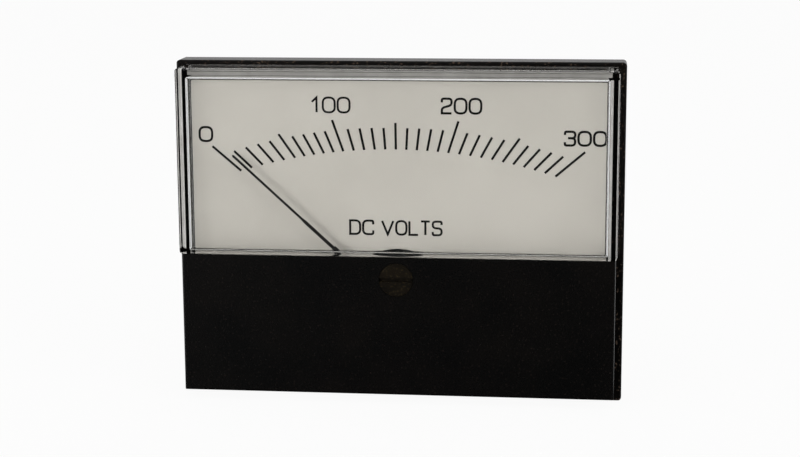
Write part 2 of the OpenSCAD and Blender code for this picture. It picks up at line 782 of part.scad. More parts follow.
module tail_weight() {
    color("#b5935a") at_rest() translate([0, y_wire_axis, -tail_reach - tail_weight_len]) difference() {
        cylinder(r = tail_weight_r, h = tail_weight_len, $fn = 48);
        translate([0, 0, -1]) cylinder(r = cross_wire_r + fit, h = tail_weight_len + 2, $fn = 24);
    }
}

module side_weights() {
    color("#b5935a") at_rest() for (side = [0, 180]) rotate([0, 0, side])
        translate([side_reach, y_wire_axis * (side == 0 ? 1 : -1), 0]) rotate([0, 90, 0]) difference() {
            cylinder(r = side_weight_r, h = side_weight_len, $fn = 48);
            translate([0, 0, -1]) cylinder(r = cross_wire_r + fit, h = side_weight_len + 2, $fn = 24);
        }
}

// Side view of a frame round the core, as wide as x and from y0 to y1, of the given wall.
module coil_loop(x, y0, y1, wall_x, wall_y, r) {
    difference() {
        rounded([-x, y0], [x, y1], r);
        rect([-x + wall_x, y0 + wall_y], [x - wall_x, y1 - wall_y]);
    }
}

module coil_former() {
    color("#c4c6c8") at_rest() translate([0, 0, -coil_w / 2]) linear_extrude(height = coil_w)
        coil_loop(former_x + former_t, y_former, y_former_end, former_t, former_t, 0.1);
}

module moving_coil() {
    color("#9a4a23") at_rest() translate([0, 0, -coil_w / 2]) linear_extrude(height = coil_w)
        coil_loop(coil_x, y_coil, y_coil_end, winding_t, winding_end_t, 0.6);
}

module front_pivot() {
    tip = y_front_bridge - 0.8;
    color("#b7b9ba") at_pivot() {
        rod(2.2, y_base, y_coil);
        rod(shank_r, y_collet, y_base);
        cone(0.08, shank_r, tip, y_collet);
    }
}

module rear_pivot() {
    tip = y_rear_bridge + 0.8;
    y_cone = y_rear_collet + collet_t + 0.3;
    color("#b7b9ba") at_pivot() {
        rod(2.2, y_coil_end, y_rear_base);
        rod(shank_r, y_rear_base, y_cone);
        cone(shank_r, 0.08, y_cone, tip);
    }
}

module collet(y) {
    color("#b08d3e") at_pivot() difference() {
        rod(collet_r, y, y + collet_t);
        rod(shank_r + fit, y - 1, y + collet_t + 1);
    }
}

module front_collet() { collet(y_collet); }

module rear_collet() { collet(y_rear_collet); }

module hairspring(y, end_angle) {
    color("#c08a4a") at_pivot() along_y(y, y + spring_h)
        spiral(collet_r + running, spring_r, spring_turns, spring_t, end_angle);
}

module front_hairspring() { hairspring(y_collet + fit, -90); }

module rear_hairspring() { hairspring(y_rear_collet + fit, 90); }

// Fixed arm on the rear bridge whose bent end holds the rear hairspring.
module rear_spring_tab() {
    tab_w = 1.6;
    tab_t = 0.7;
    arm_t = 0.3;
    color("#b08d3e") at_pivot() {
        along_y(y_rear_bridge - arm_t, y_rear_bridge) difference() {
            union() {
                circle(jewel_screw_r + 1);
                rect([-tab_w / 2, 0], [tab_w / 2, spring_r + tab_t + 3]);
            }
            circle(jewel_screw_r + fit);
        }
        along_y(y_rear_collet, y_rear_bridge) rect([-tab_w / 2, spring_r], [tab_w / 2, spring_r + tab_t]);
    }
}

// ---- Bridges and jewels --------------------------------------------------------------------------

module bridge_outline() {
    difference() {
        rounded([-bridge_reach, -bridge_half_h], [bridge_reach, bridge_half_h], bridge_half_h - 0.3);
        circle(jewel_screw_r + fit);
        both_sides(pillar_reach) circle(small_screw_r + fit);
    }
}

module front_bridge() {
    color("#b9bbbb") at_pivot() {
        along_y(y_front_face, y_front_bridge) bridge_outline();
        difference() {
            rod(boss_r, y_boss, y_front_face);
            rod(jewel_screw_r + fit, y_boss - 1, y_front_face + 1);
        }
    }
}

module rear_bridge() {
    color("#b9bbbb") at_pivot() along_y(y_rear_bridge, y_rear_face) bridge_outline();
}

// Pillars through the yoke ring, from the movement plate to the front bridge, tapped at both ends.
module front_pillars() {
    color("#b39a58") at_pivot() both_sides(pillar_reach) difference() {
        rod(pillar_r, y_front_bridge, y_core_end);
        rod(small_screw_r + fit, y_front_bridge - 1, y_front_bridge + tap_depth);
        rod(small_screw_r + fit, y_core_end - tap_depth, y_core_end + 1);
    }
}

// Short tubes between the movement plate and the rear bridge, in line with the pillars.
module rear_spacers() {
    color("#b39a58") at_pivot() both_sides(pillar_reach) difference() {
        rod(pillar_r, y_plate_end, y_rear_bridge);
        rod(small_screw_r + fit, y_plate_end - 1, y_rear_bridge + 1);
    }
}

module front_bridge_screws() {
    color("#8e8f8d") at_pivot() both_sides(pillar_reach)
        small_screw(y_front_face - small_head_t, y_front_bridge + tap_depth - 0.5);
}

module rear_bridge_screws() {
    color("#8e8f8d") at_pivot() both_sides(pillar_reach)
        small_screw(y_rear_face + small_head_t, y_core_end - tap_depth + 0.5, back = true);
}

module front_jewel_screw() {
    y_cup = y_front_bridge - 0.1;
    color("#b08d3e") at_pivot() difference() {
        rod(jewel_screw_r, y_front_screw, y_cup);
        rod(jewel_r + fit, y_cup - jewel_len - 0.1, y_cup + 1);
        along_y(y_front_screw - 1, y_front_screw + 0.5) rect([-2, -0.2], [2, 0.2]);
    }
}

module rear_jewel_screw() {
    y_cup = y_rear_bridge + 0.1;
    color("#b08d3e") at_pivot() difference() {
        rod(jewel_screw_r, y_cup, y_rear_face + jewel_nut_t + 1.4);
        rod(jewel_r + fit, y_cup - 1, y_cup + jewel_len + 0.1);
        along_y(y_rear_face + jewel_nut_t + 0.8, y_rear_face + 5) rect([-2, -0.2], [2, 0.2]);
    }
}

module jewel_nut(y) {
    color("#b08d3e") at_pivot() difference() {
        hex(jewel_nut_af, y, y + jewel_nut_t);
        rod(jewel_screw_r + fit, y - 1, y + jewel_nut_t + 1);
    }
}

module front_jewel_nut() { jewel_nut(y_boss - jewel_nut_t); }

module rear_jewel_nut() { jewel_nut(y_rear_face); }

// Sapphire cup for a pivot's tip.
module front_jewel() {
    y_cup = y_front_bridge - 0.2;
    color("#8e2440") at_pivot() difference() {
        rod(jewel_r, y_cup - jewel_len + 0.1, y_cup);
        cone(0.1, 0.5, y_cup - 0.65, y_cup);
    }
}

module rear_jewel() {
    y_cup = y_rear_bridge + 0.2;
    color("#8e2440") at_pivot() difference() {
        rod(jewel_r, y_cup, y_cup + jewel_len - 0.1);
        cone(0.5, 0.1, y_cup, y_cup + 0.65);
    }
}

// ---- Magnet system and movement plate ------------------------------------------------------------

module core_magnet() {
    color("#5d6063") at_pivot() rod(core_r, y_core, y_core_end);
}

// Two blocks that hold the core in the yoke ring, above and below, clear of the coil's swing.
module core_spacers() {
    half_w = 2.6;
    color("#bfc1c3") at_pivot() intersection() {
        along_y(y_core, y_core_end) difference() {
            circle(yoke_in_r - fit);
            circle(core_r + fit);
        }
        along_y(y_core, y_core_end) rect([-half_w, -yoke_in_r], [half_w, yoke_in_r]);
    }
}

module yoke_ring() {
    color("#7c7e80") at_pivot() along_y(y_core, y_core_end) difference() {
        circle(yoke_out_r);
        circle(yoke_in_r);
        both_sides(pillar_reach) circle(pillar_r + fit);
    }
}

module movement_plate() {
    color("#a9abac") along_y(y_core_end, y_plate_end) difference() {
        intersection() {
            rounded([-plate_reach, -movement_screw_drop - plate_below_screws],
                [plate_reach, -movement_screw_drop + plate_above_screws], plate_corner_r);
            circle(barrel_r - barrel_wall - 0.5);
        }
        translate([0, pivot_z]) {
            circle(yoke_in_r + plate_window_gap);
            both_sides(pillar_reach) circle(small_screw_r + fit);
        }
        both_sides(movement_screw_reach) translate([0, -movement_screw_drop])
            circle(movement_screw_r + fit);
    }
}

module movement_screws() {
    color("#8e8f8d") both_sides(movement_screw_reach) translate([0, 0, -movement_screw_drop]) difference() {
        union() {
            rod(movement_screw_head_r, y_core_end - movement_screw_head_t, y_core_end);
            rod(movement_screw_r, y_core_end, y_plate_end + 8);
        }
        along_y(y_core_end - 2 * movement_screw_head_t, y_core_end - movement_screw_head_t / 2)
            rect([-movement_screw_head_r - 1, -0.35], [movement_screw_head_r + 1, 0.35]);
    }
}

// ---- Terminals and wiring ------------------------------------------------------------------------

// Stud through the barrel's rear wall, held by its hexagonal head inside and its nuts outside. Where
// the threads mesh, stud and nuts meet at the middle of the thread's depth.
module terminal(side) {
    tip = 0.5;
    y_tip = y_barrel_end + terminal_len;
    color("#c2a45c") translate([side * terminal_x, 0, terminal_rise]) {
        nut(nut_af, y_terminal, y_lug);
        rod(terminal_r, y_lug, y_barrel_end);
        rod(nut_mesh_r, y_barrel_end, y_free_thread);
        rod(terminal_r, y_free_thread, y_tip - tip);
        cone(terminal_r, terminal_r - tip, y_tip - tip, y_tip);
    }
}

module terminal_left() { terminal(-1); }

module terminal_right() { terminal(1); }

// Each terminal has a locking pair and a wiring pair, of one washer and one nut each.
module terminal_nuts() {
    color("#c2a45c") both_sides(terminal_x) translate([0, 0, terminal_rise])
        for (y = [y_barrel_end, y_barrel_end + nut_pitch]) difference() {
            nut(nut_af, y + washer_t, y + nut_pitch);
            rod(nut_mesh_r + fit, y, y + nut_pitch + 1);
        }
}

module terminal_washers() {
    color("#d2ba78") both_sides(terminal_x) translate([0, 0, terminal_rise])
        for (y = [y_barrel_end, y_barrel_end + nut_pitch]) difference() {
            rod(nut_af / 2 + 0.9, y, y + washer_t);
            rod(terminal_r + fit, y - 1, y + washer_t + 1);
        }
}

module solder_lug(side) {
    color("#c9c7bd") translate([side * terminal_x, 0, terminal_rise]) along_y(y_lug, y_barrel_in)
        difference() {
            union() {
                circle(lug_r);
                rounded([-lug_w / 2, 0], [lug_w / 2, lug_tail + 1.4], 1.4);
            }
            circle(terminal_r + fit);
        }
}

module solder_lug_left() { solder_lug(-1); }

module solder_lug_right() { solder_lug(1); }

// Axial resistor, with one lead bent back to the right solder lug and one to the left.
module multiplier_resistor() {
    end_x = resistor_len / 2;
    lug_z = terminal_rise + lug_tail;
    color("#7d5a3c") {
        translate([-end_x, resistor_y, resistor_z]) rotate([0, 90, 0])
            cylinder(r = resistor_r, h = resistor_len, $fn = 48);
        wire([
            [end_x - 1, resistor_y, resistor_z], [end_x + 3, resistor_y, resistor_z],
            [terminal_x - 1, resistor_y + 1.5, lug_z + 0.5], [terminal_x, y_lug - 2, lug_z],
            [terminal_x, y_lug - fit, lug_z]
        ], lead_r, across = [0, 0, 1]);
        translate([-end_x - 2, resistor_y, resistor_z]) rotate([0, 90, 0])
            cylinder(r = lead_r, h = 3, $fn = 24);
    }
}

// One wire from the resistor to the rear spring tab, one from the left solder lug to the plate.
module lead_wires() {
    end_x = -resistor_len / 2 - 2;
    bend = 4 * wire_r;
    color("#7a1f1c") wire([
        [end_x - 3 * fit, resistor_y, resistor_z], [end_x - bend, resistor_y, resistor_z],
        [end_x - 3, resistor_y - bend, terminal_rise],
        [-6, y_rear_face + 1.5, -2], [0, y_rear_bridge + wire_r, pivot_z + spring_r + 3]
    ], wire_r, across = [0, 1, 0]);
    color("#202020") wire([
        [-terminal_x, y_lug - wire_r, terminal_rise + lug_tail - 1], [-24, y_terminal - bend, terminal_rise],
        [-24, y_rear_face + bend, 0], [-18, y_plate_end + wire_r, -9]
    ], wire_r, across = [1, 0, 0]);
}

case_base();
front_cover();
lower_mask();
cover_screws();
mounting_studs();
zero_adjuster();
adjuster_bushing();
adjuster_clip();
zero_lever();
dial_plate();
dial_screws();
pointer_stops();
pointer();
balance_cross();
tail_weight();
side_weights();
coil_former();
moving_coil();
front_pivot();
rear_pivot();
front_collet();
rear_collet();
front_hairspring();
rear_hairspring();
rear_spring_tab();
front_bridge();
rear_bridge();
front_pillars();
rear_spacers();
front_bridge_screws();
rear_bridge_screws();
front_jewel_screw();
front_jewel_nut();
front_jewel();
rear_jewel_screw();
rear_jewel_nut();
rear_jewel();
core_magnet();
core_spacers();
yoke_ring();
movement_plate();
movement_screws();
terminal_left();
terminal_right();
terminal_nuts();
terminal_washers();
solder_lug_left();
solder_lug_right();
multiplier_resistor();
lead_wires();
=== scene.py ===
# %% [markdown]
# # An analog panel meter
# The meter is a black moulded case with a clear acrylic window over a printed dial, a black mask with
# a zero adjuster below it, and a moving-coil movement in the barrel behind. The imported CAD model gives
# every rigid piece. Here they get their finishes, and the fine forms are added: the printed scale and
# its figures, the needle's lacquer, pale beads under the window's foot that paint light and shade into
# the walls' stripes, and the threads of the studs and terminals.

# %% Load the frame and the tools
import json
import math

import bmesh
import bpy
import numpy as np
from mathutils import Matrix, Vector


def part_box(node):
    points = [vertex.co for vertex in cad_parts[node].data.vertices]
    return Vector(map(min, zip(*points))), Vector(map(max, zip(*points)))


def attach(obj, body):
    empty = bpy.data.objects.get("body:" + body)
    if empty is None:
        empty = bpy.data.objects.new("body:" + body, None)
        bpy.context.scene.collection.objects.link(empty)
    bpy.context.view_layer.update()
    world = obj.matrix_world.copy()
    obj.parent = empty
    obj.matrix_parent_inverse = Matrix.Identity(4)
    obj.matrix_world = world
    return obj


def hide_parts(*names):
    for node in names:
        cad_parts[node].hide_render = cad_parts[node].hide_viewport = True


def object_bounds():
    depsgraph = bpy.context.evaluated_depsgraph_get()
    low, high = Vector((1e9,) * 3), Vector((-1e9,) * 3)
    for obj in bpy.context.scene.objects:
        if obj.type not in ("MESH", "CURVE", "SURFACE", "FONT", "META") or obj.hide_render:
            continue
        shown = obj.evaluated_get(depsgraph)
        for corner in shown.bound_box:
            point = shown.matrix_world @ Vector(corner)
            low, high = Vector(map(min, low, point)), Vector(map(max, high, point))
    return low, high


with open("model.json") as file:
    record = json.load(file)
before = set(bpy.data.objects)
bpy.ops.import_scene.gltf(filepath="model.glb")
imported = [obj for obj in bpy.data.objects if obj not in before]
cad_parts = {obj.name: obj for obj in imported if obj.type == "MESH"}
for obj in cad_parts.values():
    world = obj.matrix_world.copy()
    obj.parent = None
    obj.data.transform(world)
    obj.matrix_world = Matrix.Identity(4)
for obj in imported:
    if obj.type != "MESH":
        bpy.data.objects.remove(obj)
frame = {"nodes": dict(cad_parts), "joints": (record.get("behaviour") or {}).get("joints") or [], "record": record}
nodes = frame["nodes"]
cad_low, cad_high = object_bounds()
MM = 0.001
print("frame:", len(nodes), "nodes, box", [round(v / MM, 1) for v in (*cad_low, *cad_high)])

# %% [markdown]
# ## Camera
# A lens of about 82 mm on a 36 mm wide sensor stands 0.44 m in front of the face, a little to the right
# and above, so that the flange's top and right side just show. The axes are worked out from the view's
# two angles, which is more exact than aiming a Track To constraint, because the camera also has a
# slight roll.

# %% Place the camera
VIEW_YAW, VIEW_PITCH, VIEW_ROLL = 0.1141, 0.1923, -0.0053  # radians
VIEW_DISTANCE = 436.9 * MM
FOCAL_IN_WIDTHS = 2.2777  # focal length over the picture's width
SENSOR_MM = 36.0
NEAREST_SEEN = 10 * MM

flange_front_y = -7.6 * MM
target = Vector((0.14 * MM, flange_front_y, 0.64 * MM))
back = Vector((math.sin(VIEW_YAW) * math.cos(VIEW_PITCH), -math.cos(VIEW_YAW) * math.cos(VIEW_PITCH),
               math.sin(VIEW_PITCH)))
level_right = (-back).cross(Vector((0, 0, 1))).normalized()
level_up = level_right.cross(-back)
cos_roll, sin_roll = math.cos(VIEW_ROLL), math.sin(VIEW_ROLL)
right = cos_roll * level_right + sin_roll * level_up
up = cos_roll * level_up - sin_roll * level_right

camera = bpy.data.objects.new("camera", bpy.data.cameras.new("camera"))
bpy.context.scene.collection.objects.link(camera)
camera.matrix_world = Matrix.Translation(target + VIEW_DISTANCE * back) @ Matrix(
    (right, up, back)).transposed().to_4x4()
camera.data.sensor_width = SENSOR_MM
camera.data.lens = FOCAL_IN_WIDTHS * SENSOR_MM
camera.data.clip_start = NEAREST_SEEN
bpy.context.scene.camera = camera
bpy.context.scene.view_settings.view_transform = "Standard"
print("camera:", round(camera.data.lens, 1), "mm lens at", [round(v, 3) for v in camera.location])


# %% [markdown]
# ## Colours and nodes
# Colours are written as sRGB hex values, as a paint chart gives them. Shaders work in linear light, so
# one function converts them. A second one adds a node with its values and its links in one call, which
# keeps each material short enough to read in one go. A Mix node has several sockets of one name, so
# they are taken by their places.

# %% Helpers for materials
MIX_FACTOR, MIX_A, MIX_B, MIX_COLOUR = 0, 6, 7, 2  # when a Mix node mixes colours
MIX_LOW, MIX_HIGH, MIX_NUMBER = 2, 3, 0  # when it mixes numbers


def linear(hex_colour, alpha=1.0):
    """An sRGB hex colour as linear RGBA: below 0.04045 a straight line, above it a 2.4 power."""
    channels = np.array([int(hex_colour[i:i + 2], 16) for i in (1, 3, 5)]) / 255
    curve = ((channels + 0.055) / 1.055) ** 2.4
    return (*np.where(channels <= 0.04045, channels / 12.92, curve), alpha)


def add_node(tree, kind, values=None, links=None, **settings):
    """Adds a node with its settings, its sockets' values and its links from (node, output) pairs."""
    node = tree.nodes.new(kind)
    for name, value in settings.items():
        setattr(node, name, value)
    for socket, value in (values or {}).items():
        node.inputs[socket].default_value = value
    for socket, (source, output) in (links or {}).items():
        tree.links.new(source.outputs[output], node.inputs[socket])
    return node


print("half of white in sRGB is", round(linear("#808080")[0], 3), "in linear light")

# %% [markdown]
# ## One recipe for opaque finishes
# Paint, moulded plastic, plate and bare metal differ in numbers, not in kind. The colour wanders between
# two close tones in patches, because no batch is quite even. A finer grain raises the surface and makes
# it a little duller or brighter from place to place: stretched along one axis it becomes the lines of
# a drawn sheet, and pressed flat along the axis of a bar it becomes the rings that a lathe leaves.

# %% The recipe
EVEN = (1, 1, 1)
RINGS_ROUND_Y = (0.06, 1, 0.06)
LINES_ALONG_X = (0.05, 1, 1)
PATCH_LOW, PATCH_HIGH = 0.35, 0.65  # a noise keeps near 0.5, so this part of it is spread over both tones
GRAIN_LOW, GRAIN_HIGH = 0.3, 0.7
SPECK_EDGE = 0.06  # how softly a speck ends
BUMP_STRENGTH = 0.6


def opaque_finish(name, tones, patch_mm, grain_mm, height_mm, roughness, stretch=EVEN, specks=None,
                  stripes=None, shader_values=None):
    """An opaque material. Colour: noise of patch_mm mixes two tones, then optional specks of a third
    colour where another noise peaks, or optional flat stripes along X. Gloss: noise of grain_mm moves
    the roughness between its two values. Bump: the same grain, height_mm high."""
    material = bpy.data.materials.new(name)
    material.use_nodes = True
    tree = material.node_tree
    tree.nodes.clear()
    place = add_node(tree, "ShaderNodeTexCoord")
    patches = add_node(tree, "ShaderNodeTexNoise", {"Scale": 1 / (patch_mm * MM), "Detail": 4.0},
                       {"Vector": (place, "Object")})
    share = add_node(tree, "ShaderNodeMapRange", {"From Min": PATCH_LOW, "From Max": PATCH_HIGH},
                     {"Value": (patches, "Fac")})
    mixed = add_node(tree, "ShaderNodeMix", {MIX_A: linear(tones[0]), MIX_B: linear(tones[1])},
                     {MIX_FACTOR: (share, "Result")}, data_type="RGBA")
    colour = (mixed, MIX_COLOUR)
    if specks:
        speck_colour, speck_mm, peak = specks
        dust = add_node(tree, "ShaderNodeTexNoise", {"Scale": 1 / (speck_mm * MM), "Detail": 2.0},
                        {"Vector": (place, "Object")})
        peaks = add_node(tree, "ShaderNodeMapRange", {"From Min": peak, "From Max": peak + SPECK_EDGE},
                         {"Value": (dust, "Fac")})
        dusted = add_node(tree, "ShaderNodeMix", {MIX_B: linear(speck_colour)},
                          {MIX_FACTOR: (peaks, "Result"), MIX_A: colour}, data_type="RGBA")
        colour = (dusted, MIX_COLOUR)
    if stripes:
        low, high = stripes[0][0], stripes[-1][0]
        axes = add_node(tree, "ShaderNodeSeparateXYZ", links={"Vector": (place, "Object")})
        along = add_node(tree, "ShaderNodeMapRange", {"From Min": low * MM, "From Max": high * MM},
                         {"Value": (axes, "X")})
        bands = add_node(tree, "ShaderNodeValToRGB", links={"Fac": (along, "Result")})
        bands.color_ramp.interpolation = "CONSTANT"
        bands.color_ramp.elements[1].position = 1.0
        for edge, band_colour in stripes[1:-1]:
            element = bands.color_ramp.elements.new((edge - low) / (high - low))
            element.color = linear(band_colour)
        bands.color_ramp.elements[0].color = linear(stripes[0][1])
        bands.color_ramp.elements[-1].color = linear(stripes[-1][1])
        colour = (bands, "Color")
    drawn = add_node(tree, "ShaderNodeMapping", {"Scale": stretch}, {"Vector": (place, "Object")})
    grain = add_node(tree, "ShaderNodeTexNoise", {"Scale": 1 / (grain_mm * MM), "Detail": 3.0},
                     {"Vector": (drawn, "Vector")})
    gloss = add_node(tree, "ShaderNodeMapRange", {
        "From Min": GRAIN_LOW, "From Max": GRAIN_HIGH, "To Min": roughness[0], "To Max": roughness[1]},
                     {"Value": (grain, "Fac")})
    bump = add_node(tree, "ShaderNodeBump", {"Strength": BUMP_STRENGTH, "Distance": height_mm * MM},
                    {"Height": (grain, "Fac")})
    shader = add_node(tree, "ShaderNodeBsdfPrincipled", shader_values,
                      {"Base Color": colour, "Roughness": (gloss, "Result"), "Normal": (bump, "Normal")})
    add_node(tree, "ShaderNodeOutputMaterial", links={"Surface": (shader, "BSDF")})
    return material


print("grain stretched", round(1 / LINES_ALONG_X[0]), "times along X makes drawn lines")

# %% [markdown]
# ## Black mouldings
# The case is phenolic, pressed hot from powder: nearly black and satin, with a dust of brown filler
# grains that shows where light grazes it. The real grains are about 0.1 mm across, and are drawn larger
# so that they show. The mask is a smoother moulding, darker still, and its rounded edges catch a thin
# line of light. The adjuster is a dark olive-brown phenolic.

# %% Moulded finishes
DULL = {"Specular IOR Level": 0.16}
finishes = {
    "black_phenolic": opaque_finish(
        "pressed_black_phenolic", ("#050403", "#0b0806"), patch_mm=9, grain_mm=0.32, height_mm=0.012,
        roughness=(0.3, 0.45), specks=("#4a3d33", 0.7, 0.61), shader_values=DULL),
    "black_mask": opaque_finish(
        "moulded_black_mask", ("#020202", "#070504"), patch_mm=12, grain_mm=0.25, height_mm=0.008,
        roughness=(0.24, 0.34), specks=("#1c1613", 0.5, 0.62)),
    "adjuster_brown": opaque_finish(
        "moulded_brown_adjuster", ("#0c0905", "#181208"), patch_mm=4, grain_mm=0.2, height_mm=0.01,
        roughness=(0.34, 0.48), specks=("#2c2414", 0.4, 0.6), shader_values=DULL),
}
print("mouldings:", [material.name for material in finishes.values()])

# %% [markdown]
# ## Clear acrylic
# The cover is injection-moulded acrylic: water clear, with an index of 1.49 and a faint cloud that
# hands leave on it. A ray tracer lets almost no light through glass to what lies behind, because
# a lamp is hard to hit through a bend. So shadow rays pass straight through. They are dimmed towards the
# foot, where the real walls bend the light away and leave the dial's edges in a soft shade.

# %% The acrylic cover
CLOUD_MM, CLOUD_LOW, CLOUD_HIGH = 14, 0.4, 0.8
MOST_HAZE = 0.03
SHADE_BEGINS, SHADE_FULL = -14.6, -11.5  # mm along Y, from the window's front towards its foot
cover_low, cover_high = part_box("front_cover")
acrylic = bpy.data.materials.new("moulded_clear_acrylic")
acrylic.use_nodes = True
tree = acrylic.node_tree
tree.nodes.clear()
place = add_node(tree, "ShaderNodeTexCoord")
cloud = add_node(tree, "ShaderNodeTexNoise", {"Scale": 1 / (CLOUD_MM * MM), "Detail": 3.0},
                 {"Vector": (place, "Object")})
haze = add_node(tree, "ShaderNodeMapRange", {
    "From Min": CLOUD_LOW, "From Max": CLOUD_HIGH, "To Max": MOST_HAZE}, {"Value": (cloud, "Fac")})
polished = add_node(tree, "ShaderNodeBsdfPrincipled",
                    {"Base Color": linear("#fafbfb"), "Transmission Weight": 1.0, "IOR": 1.49},
                    {"Roughness": (haze, "Result")})
axes = add_node(tree, "ShaderNodeSeparateXYZ", links={"Vector": (place, "Object")})
to_foot = add_node(tree, "ShaderNodeMapRange", {
    "From Min": SHADE_BEGINS * MM, "From Max": SHADE_FULL * MM}, {"Value": (axes, "Y")})
dimmed = add_node(tree, "ShaderNodeMix", {MIX_A: linear("#fbfbfa"), MIX_B: linear("#949391")},
                  {MIX_FACTOR: (to_foot, "Result")}, data_type="RGBA")
passing = add_node(tree, "ShaderNodeBsdfTransparent", links={"Color": (dimmed, MIX_COLOUR)})
rays = add_node(tree, "ShaderNodeLightPath")
lit_through = add_node(tree, "ShaderNodeMixShader", links={
    0: (rays, "Is Shadow Ray"), 1: (polished, "BSDF"), 2: (passing, "BSDF")})
add_node(tree, "ShaderNodeOutputMaterial", links={"Surface": (lit_through, "Shader")})
finishes["clear_acrylic"] = acrylic
print("acrylic:", round((cover_high[1] - cover_low[1]) / MM, 1), "mm deep cover")

# %% [markdown]
# ## Paint, lacquer and ink
# The dial is sheet metal sprayed with warm pale grey paint: satin, with a fine tooth and slow changes of
# tone. The tooth is drawn coarser than a sprayed one, so that it shows. The ink of the scale stands on
# the paint as a thin matt black film. The pointer is aluminium in black lacquer, smoother than the ink,
# so its edges show. Black oxide leaves the dial's screws dark and oily.

# %% Painted finishes
SATIN = {"Specular IOR Level": 0.3}
finishes["dial_paint"] = opaque_finish(
    "sprayed_dial_paint", ("#c4bfb7", "#cac5bd"), patch_mm=22, grain_mm=0.35, height_mm=0.006,
    roughness=(0.5, 0.6), shader_values=SATIN)
finishes["pointer_black"] = opaque_finish(
    "black_pointer_lacquer", ("#0b0a0a", "#141312"), patch_mm=3, grain_mm=0.3, height_mm=0.003,
    roughness=(0.35, 0.45), shader_values=SATIN)
finishes["screw_black"] = opaque_finish(
    "black_oxide_screw", ("#151413", "#23211f"), patch_mm=2, grain_mm=0.3, height_mm=0.004,
    roughness=(0.3, 0.42))
dial_ink = opaque_finish(
    "printed_black_ink", ("#080808", "#100f0e"), patch_mm=4, grain_mm=0.3, height_mm=0.004,
    roughness=(0.65, 0.75), shader_values={"Specular IOR Level": 0.15})
print("paints:", finishes["dial_paint"].name, dial_ink.name)

# %% [markdown]
# ## Metals
# Each metal keeps its own colour and the default index. Turned brass and bright zinc plate carry fine
# rings from the lathe, rolled and stamped sheet carries lines, a casting has an even skin, and handling
# leaves duller patches a few millimetres across. Real rings and lines are about 0.05 mm apart, and are
# drawn two or three times as coarse so that they show.

# %% Metal finishes
METAL = {"Metallic": 1.0}
HANDLED_MM = 3.5  # size of the duller patches
SMOOTHER, ROUGHER = 0.07, 0.1  # how far the grain moves the roughness to either side
METALS = {  # name, bright and dull tone, roughness, grain in mm and how it is stretched, its height in mm
    # Yellow and softly shining, ringed by the lathe, wound from wire or stamped
    "stud_brass": ("turned_brass_stud", "#d6b46a", "#a98743", 0.27, 0.12, RINGS_ROUND_Y, 0.008),
    "pillar_brass": ("turned_brass_pillar", "#c9a85f", "#a5854a", 0.3, 0.12, RINGS_ROUND_Y, 0.006),
    "weight_brass": ("wound_brass_weight", "#c9a468", "#94733f", 0.32, 0.14, EVEN, 0.01),
    "lever_brass": ("stamped_brass_lever", "#c8a450", "#99793a", 0.3, 0.1, LINES_ALONG_X, 0.004),
    # Cold and bright where plated or polished, blue-grey where tempered
    "screw_steel": ("zinc_plated_steel", "#b9b9b4", "#8f8f8a", 0.28, 0.14, RINGS_ROUND_Y, 0.005),
    "spring_steel": ("blued_spring_steel", "#7d7f88", "#5a5c66", 0.28, 0.12, LINES_ALONG_X, 0.004),
    "pivot_steel": ("polished_pivot_steel", "#c6c8c9", "#a5a7a8", 0.14, 0.1, RINGS_ROUND_Y, 0.001),
    # Warm and reddish, rolled to a thin bright strip
    "spring_bronze": ("rolled_phosphor_bronze", "#cf9350", "#a06c36", 0.3, 0.1, LINES_ALONG_X, 0.002),
    # Pale and bluish: stamped, bright-drawn or die cast with an even skin
    "cross_aluminium": ("stamped_aluminium_cross", "#b4b6b5", "#8e908f", 0.32, 0.12, LINES_ALONG_X, 0.004),
    "former_aluminium": ("bright_aluminium_former", "#d0d2d3", "#aeb0b1", 0.22, 0.12, LINES_ALONG_X, 0.003),
    "bridge_aluminium": ("die_cast_aluminium", "#b6b8b8", "#939595", 0.42, 0.4, EVEN, 0.02),
    # Dark grey and ground, plated grey, and soft white tin
    "magnet_alloy": ("ground_magnet_alloy", "#7b7e80", "#595c5f", 0.38, 0.15, RINGS_ROUND_Y, 0.006),
    "yoke_iron": ("plated_soft_iron", "#989a9b", "#75777a", 0.36, 0.3, EVEN, 0.008),
    "tinned_lug": ("tinned_copper_lug", "#cdccc6", "#a9a8a0", 0.33, 0.5, EVEN, 0.02),
}
for slot, (name, bright, dull, rough, grain_mm, stretch, height_mm) in METALS.items():
    finishes[slot] = opaque_finish(
        name, (bright, dull), HANDLED_MM, grain_mm, height_mm, (rough - SMOOTHER, rough + ROUGHER),
        stretch, shader_values=METAL)
print("metals:", ", ".join(row[0] for row in METALS.values()))

# %% [markdown]
# ## Rubber, jewels, resistor and wires
# The stops are soft black rubber: matt, with a fine cloud. The beads under the window get a pale matt
# finish of the same kind as painted light, and a grey copy of it as painted shade along the top. The
# jewels are polished ruby cups. The resistor's brown lacquer carries colour bands and its leads are
# tinned, and the wires have red and black insulation, so their colours are flat stripes along X, each
# from its own place in mm up to the next one's.

# %% Finishes of the small pieces
TINNED, LACQUER = "#b9b8b2", "#8a6a48"
finishes["stop_rubber"] = opaque_finish(
    "black_stop_rubber", ("#141414", "#222120"), patch_mm=0.8, grain_mm=0.4, height_mm=0.01,
    roughness=(0.7, 0.8), shader_values=SATIN)
finishes["sapphire"] = opaque_finish(
    "polished_ruby_jewel", ("#8e2440", "#a63350"), patch_mm=0.8, grain_mm=0.3, height_mm=0.001,
    roughness=(0.08, 0.16))
finishes["resistor_lacquer"] = opaque_finish(
    "lacquered_resistor", (LACQUER, LACQUER), patch_mm=2, grain_mm=0.5, height_mm=0.01,
    roughness=(0.24, 0.36), stripes=[
        (-20, TINNED), (-5.6, LACQUER), (-4.2, "#5c3317"), (-3, LACQUER), (-1.6, "#1a1817"),
        (-0.4, LACQUER), (1, "#c8912c"), (2.4, LACQUER), (4.4, "#b9973f"), (5.2, LACQUER),
        (5.8, TINNED), (20, TINNED)])
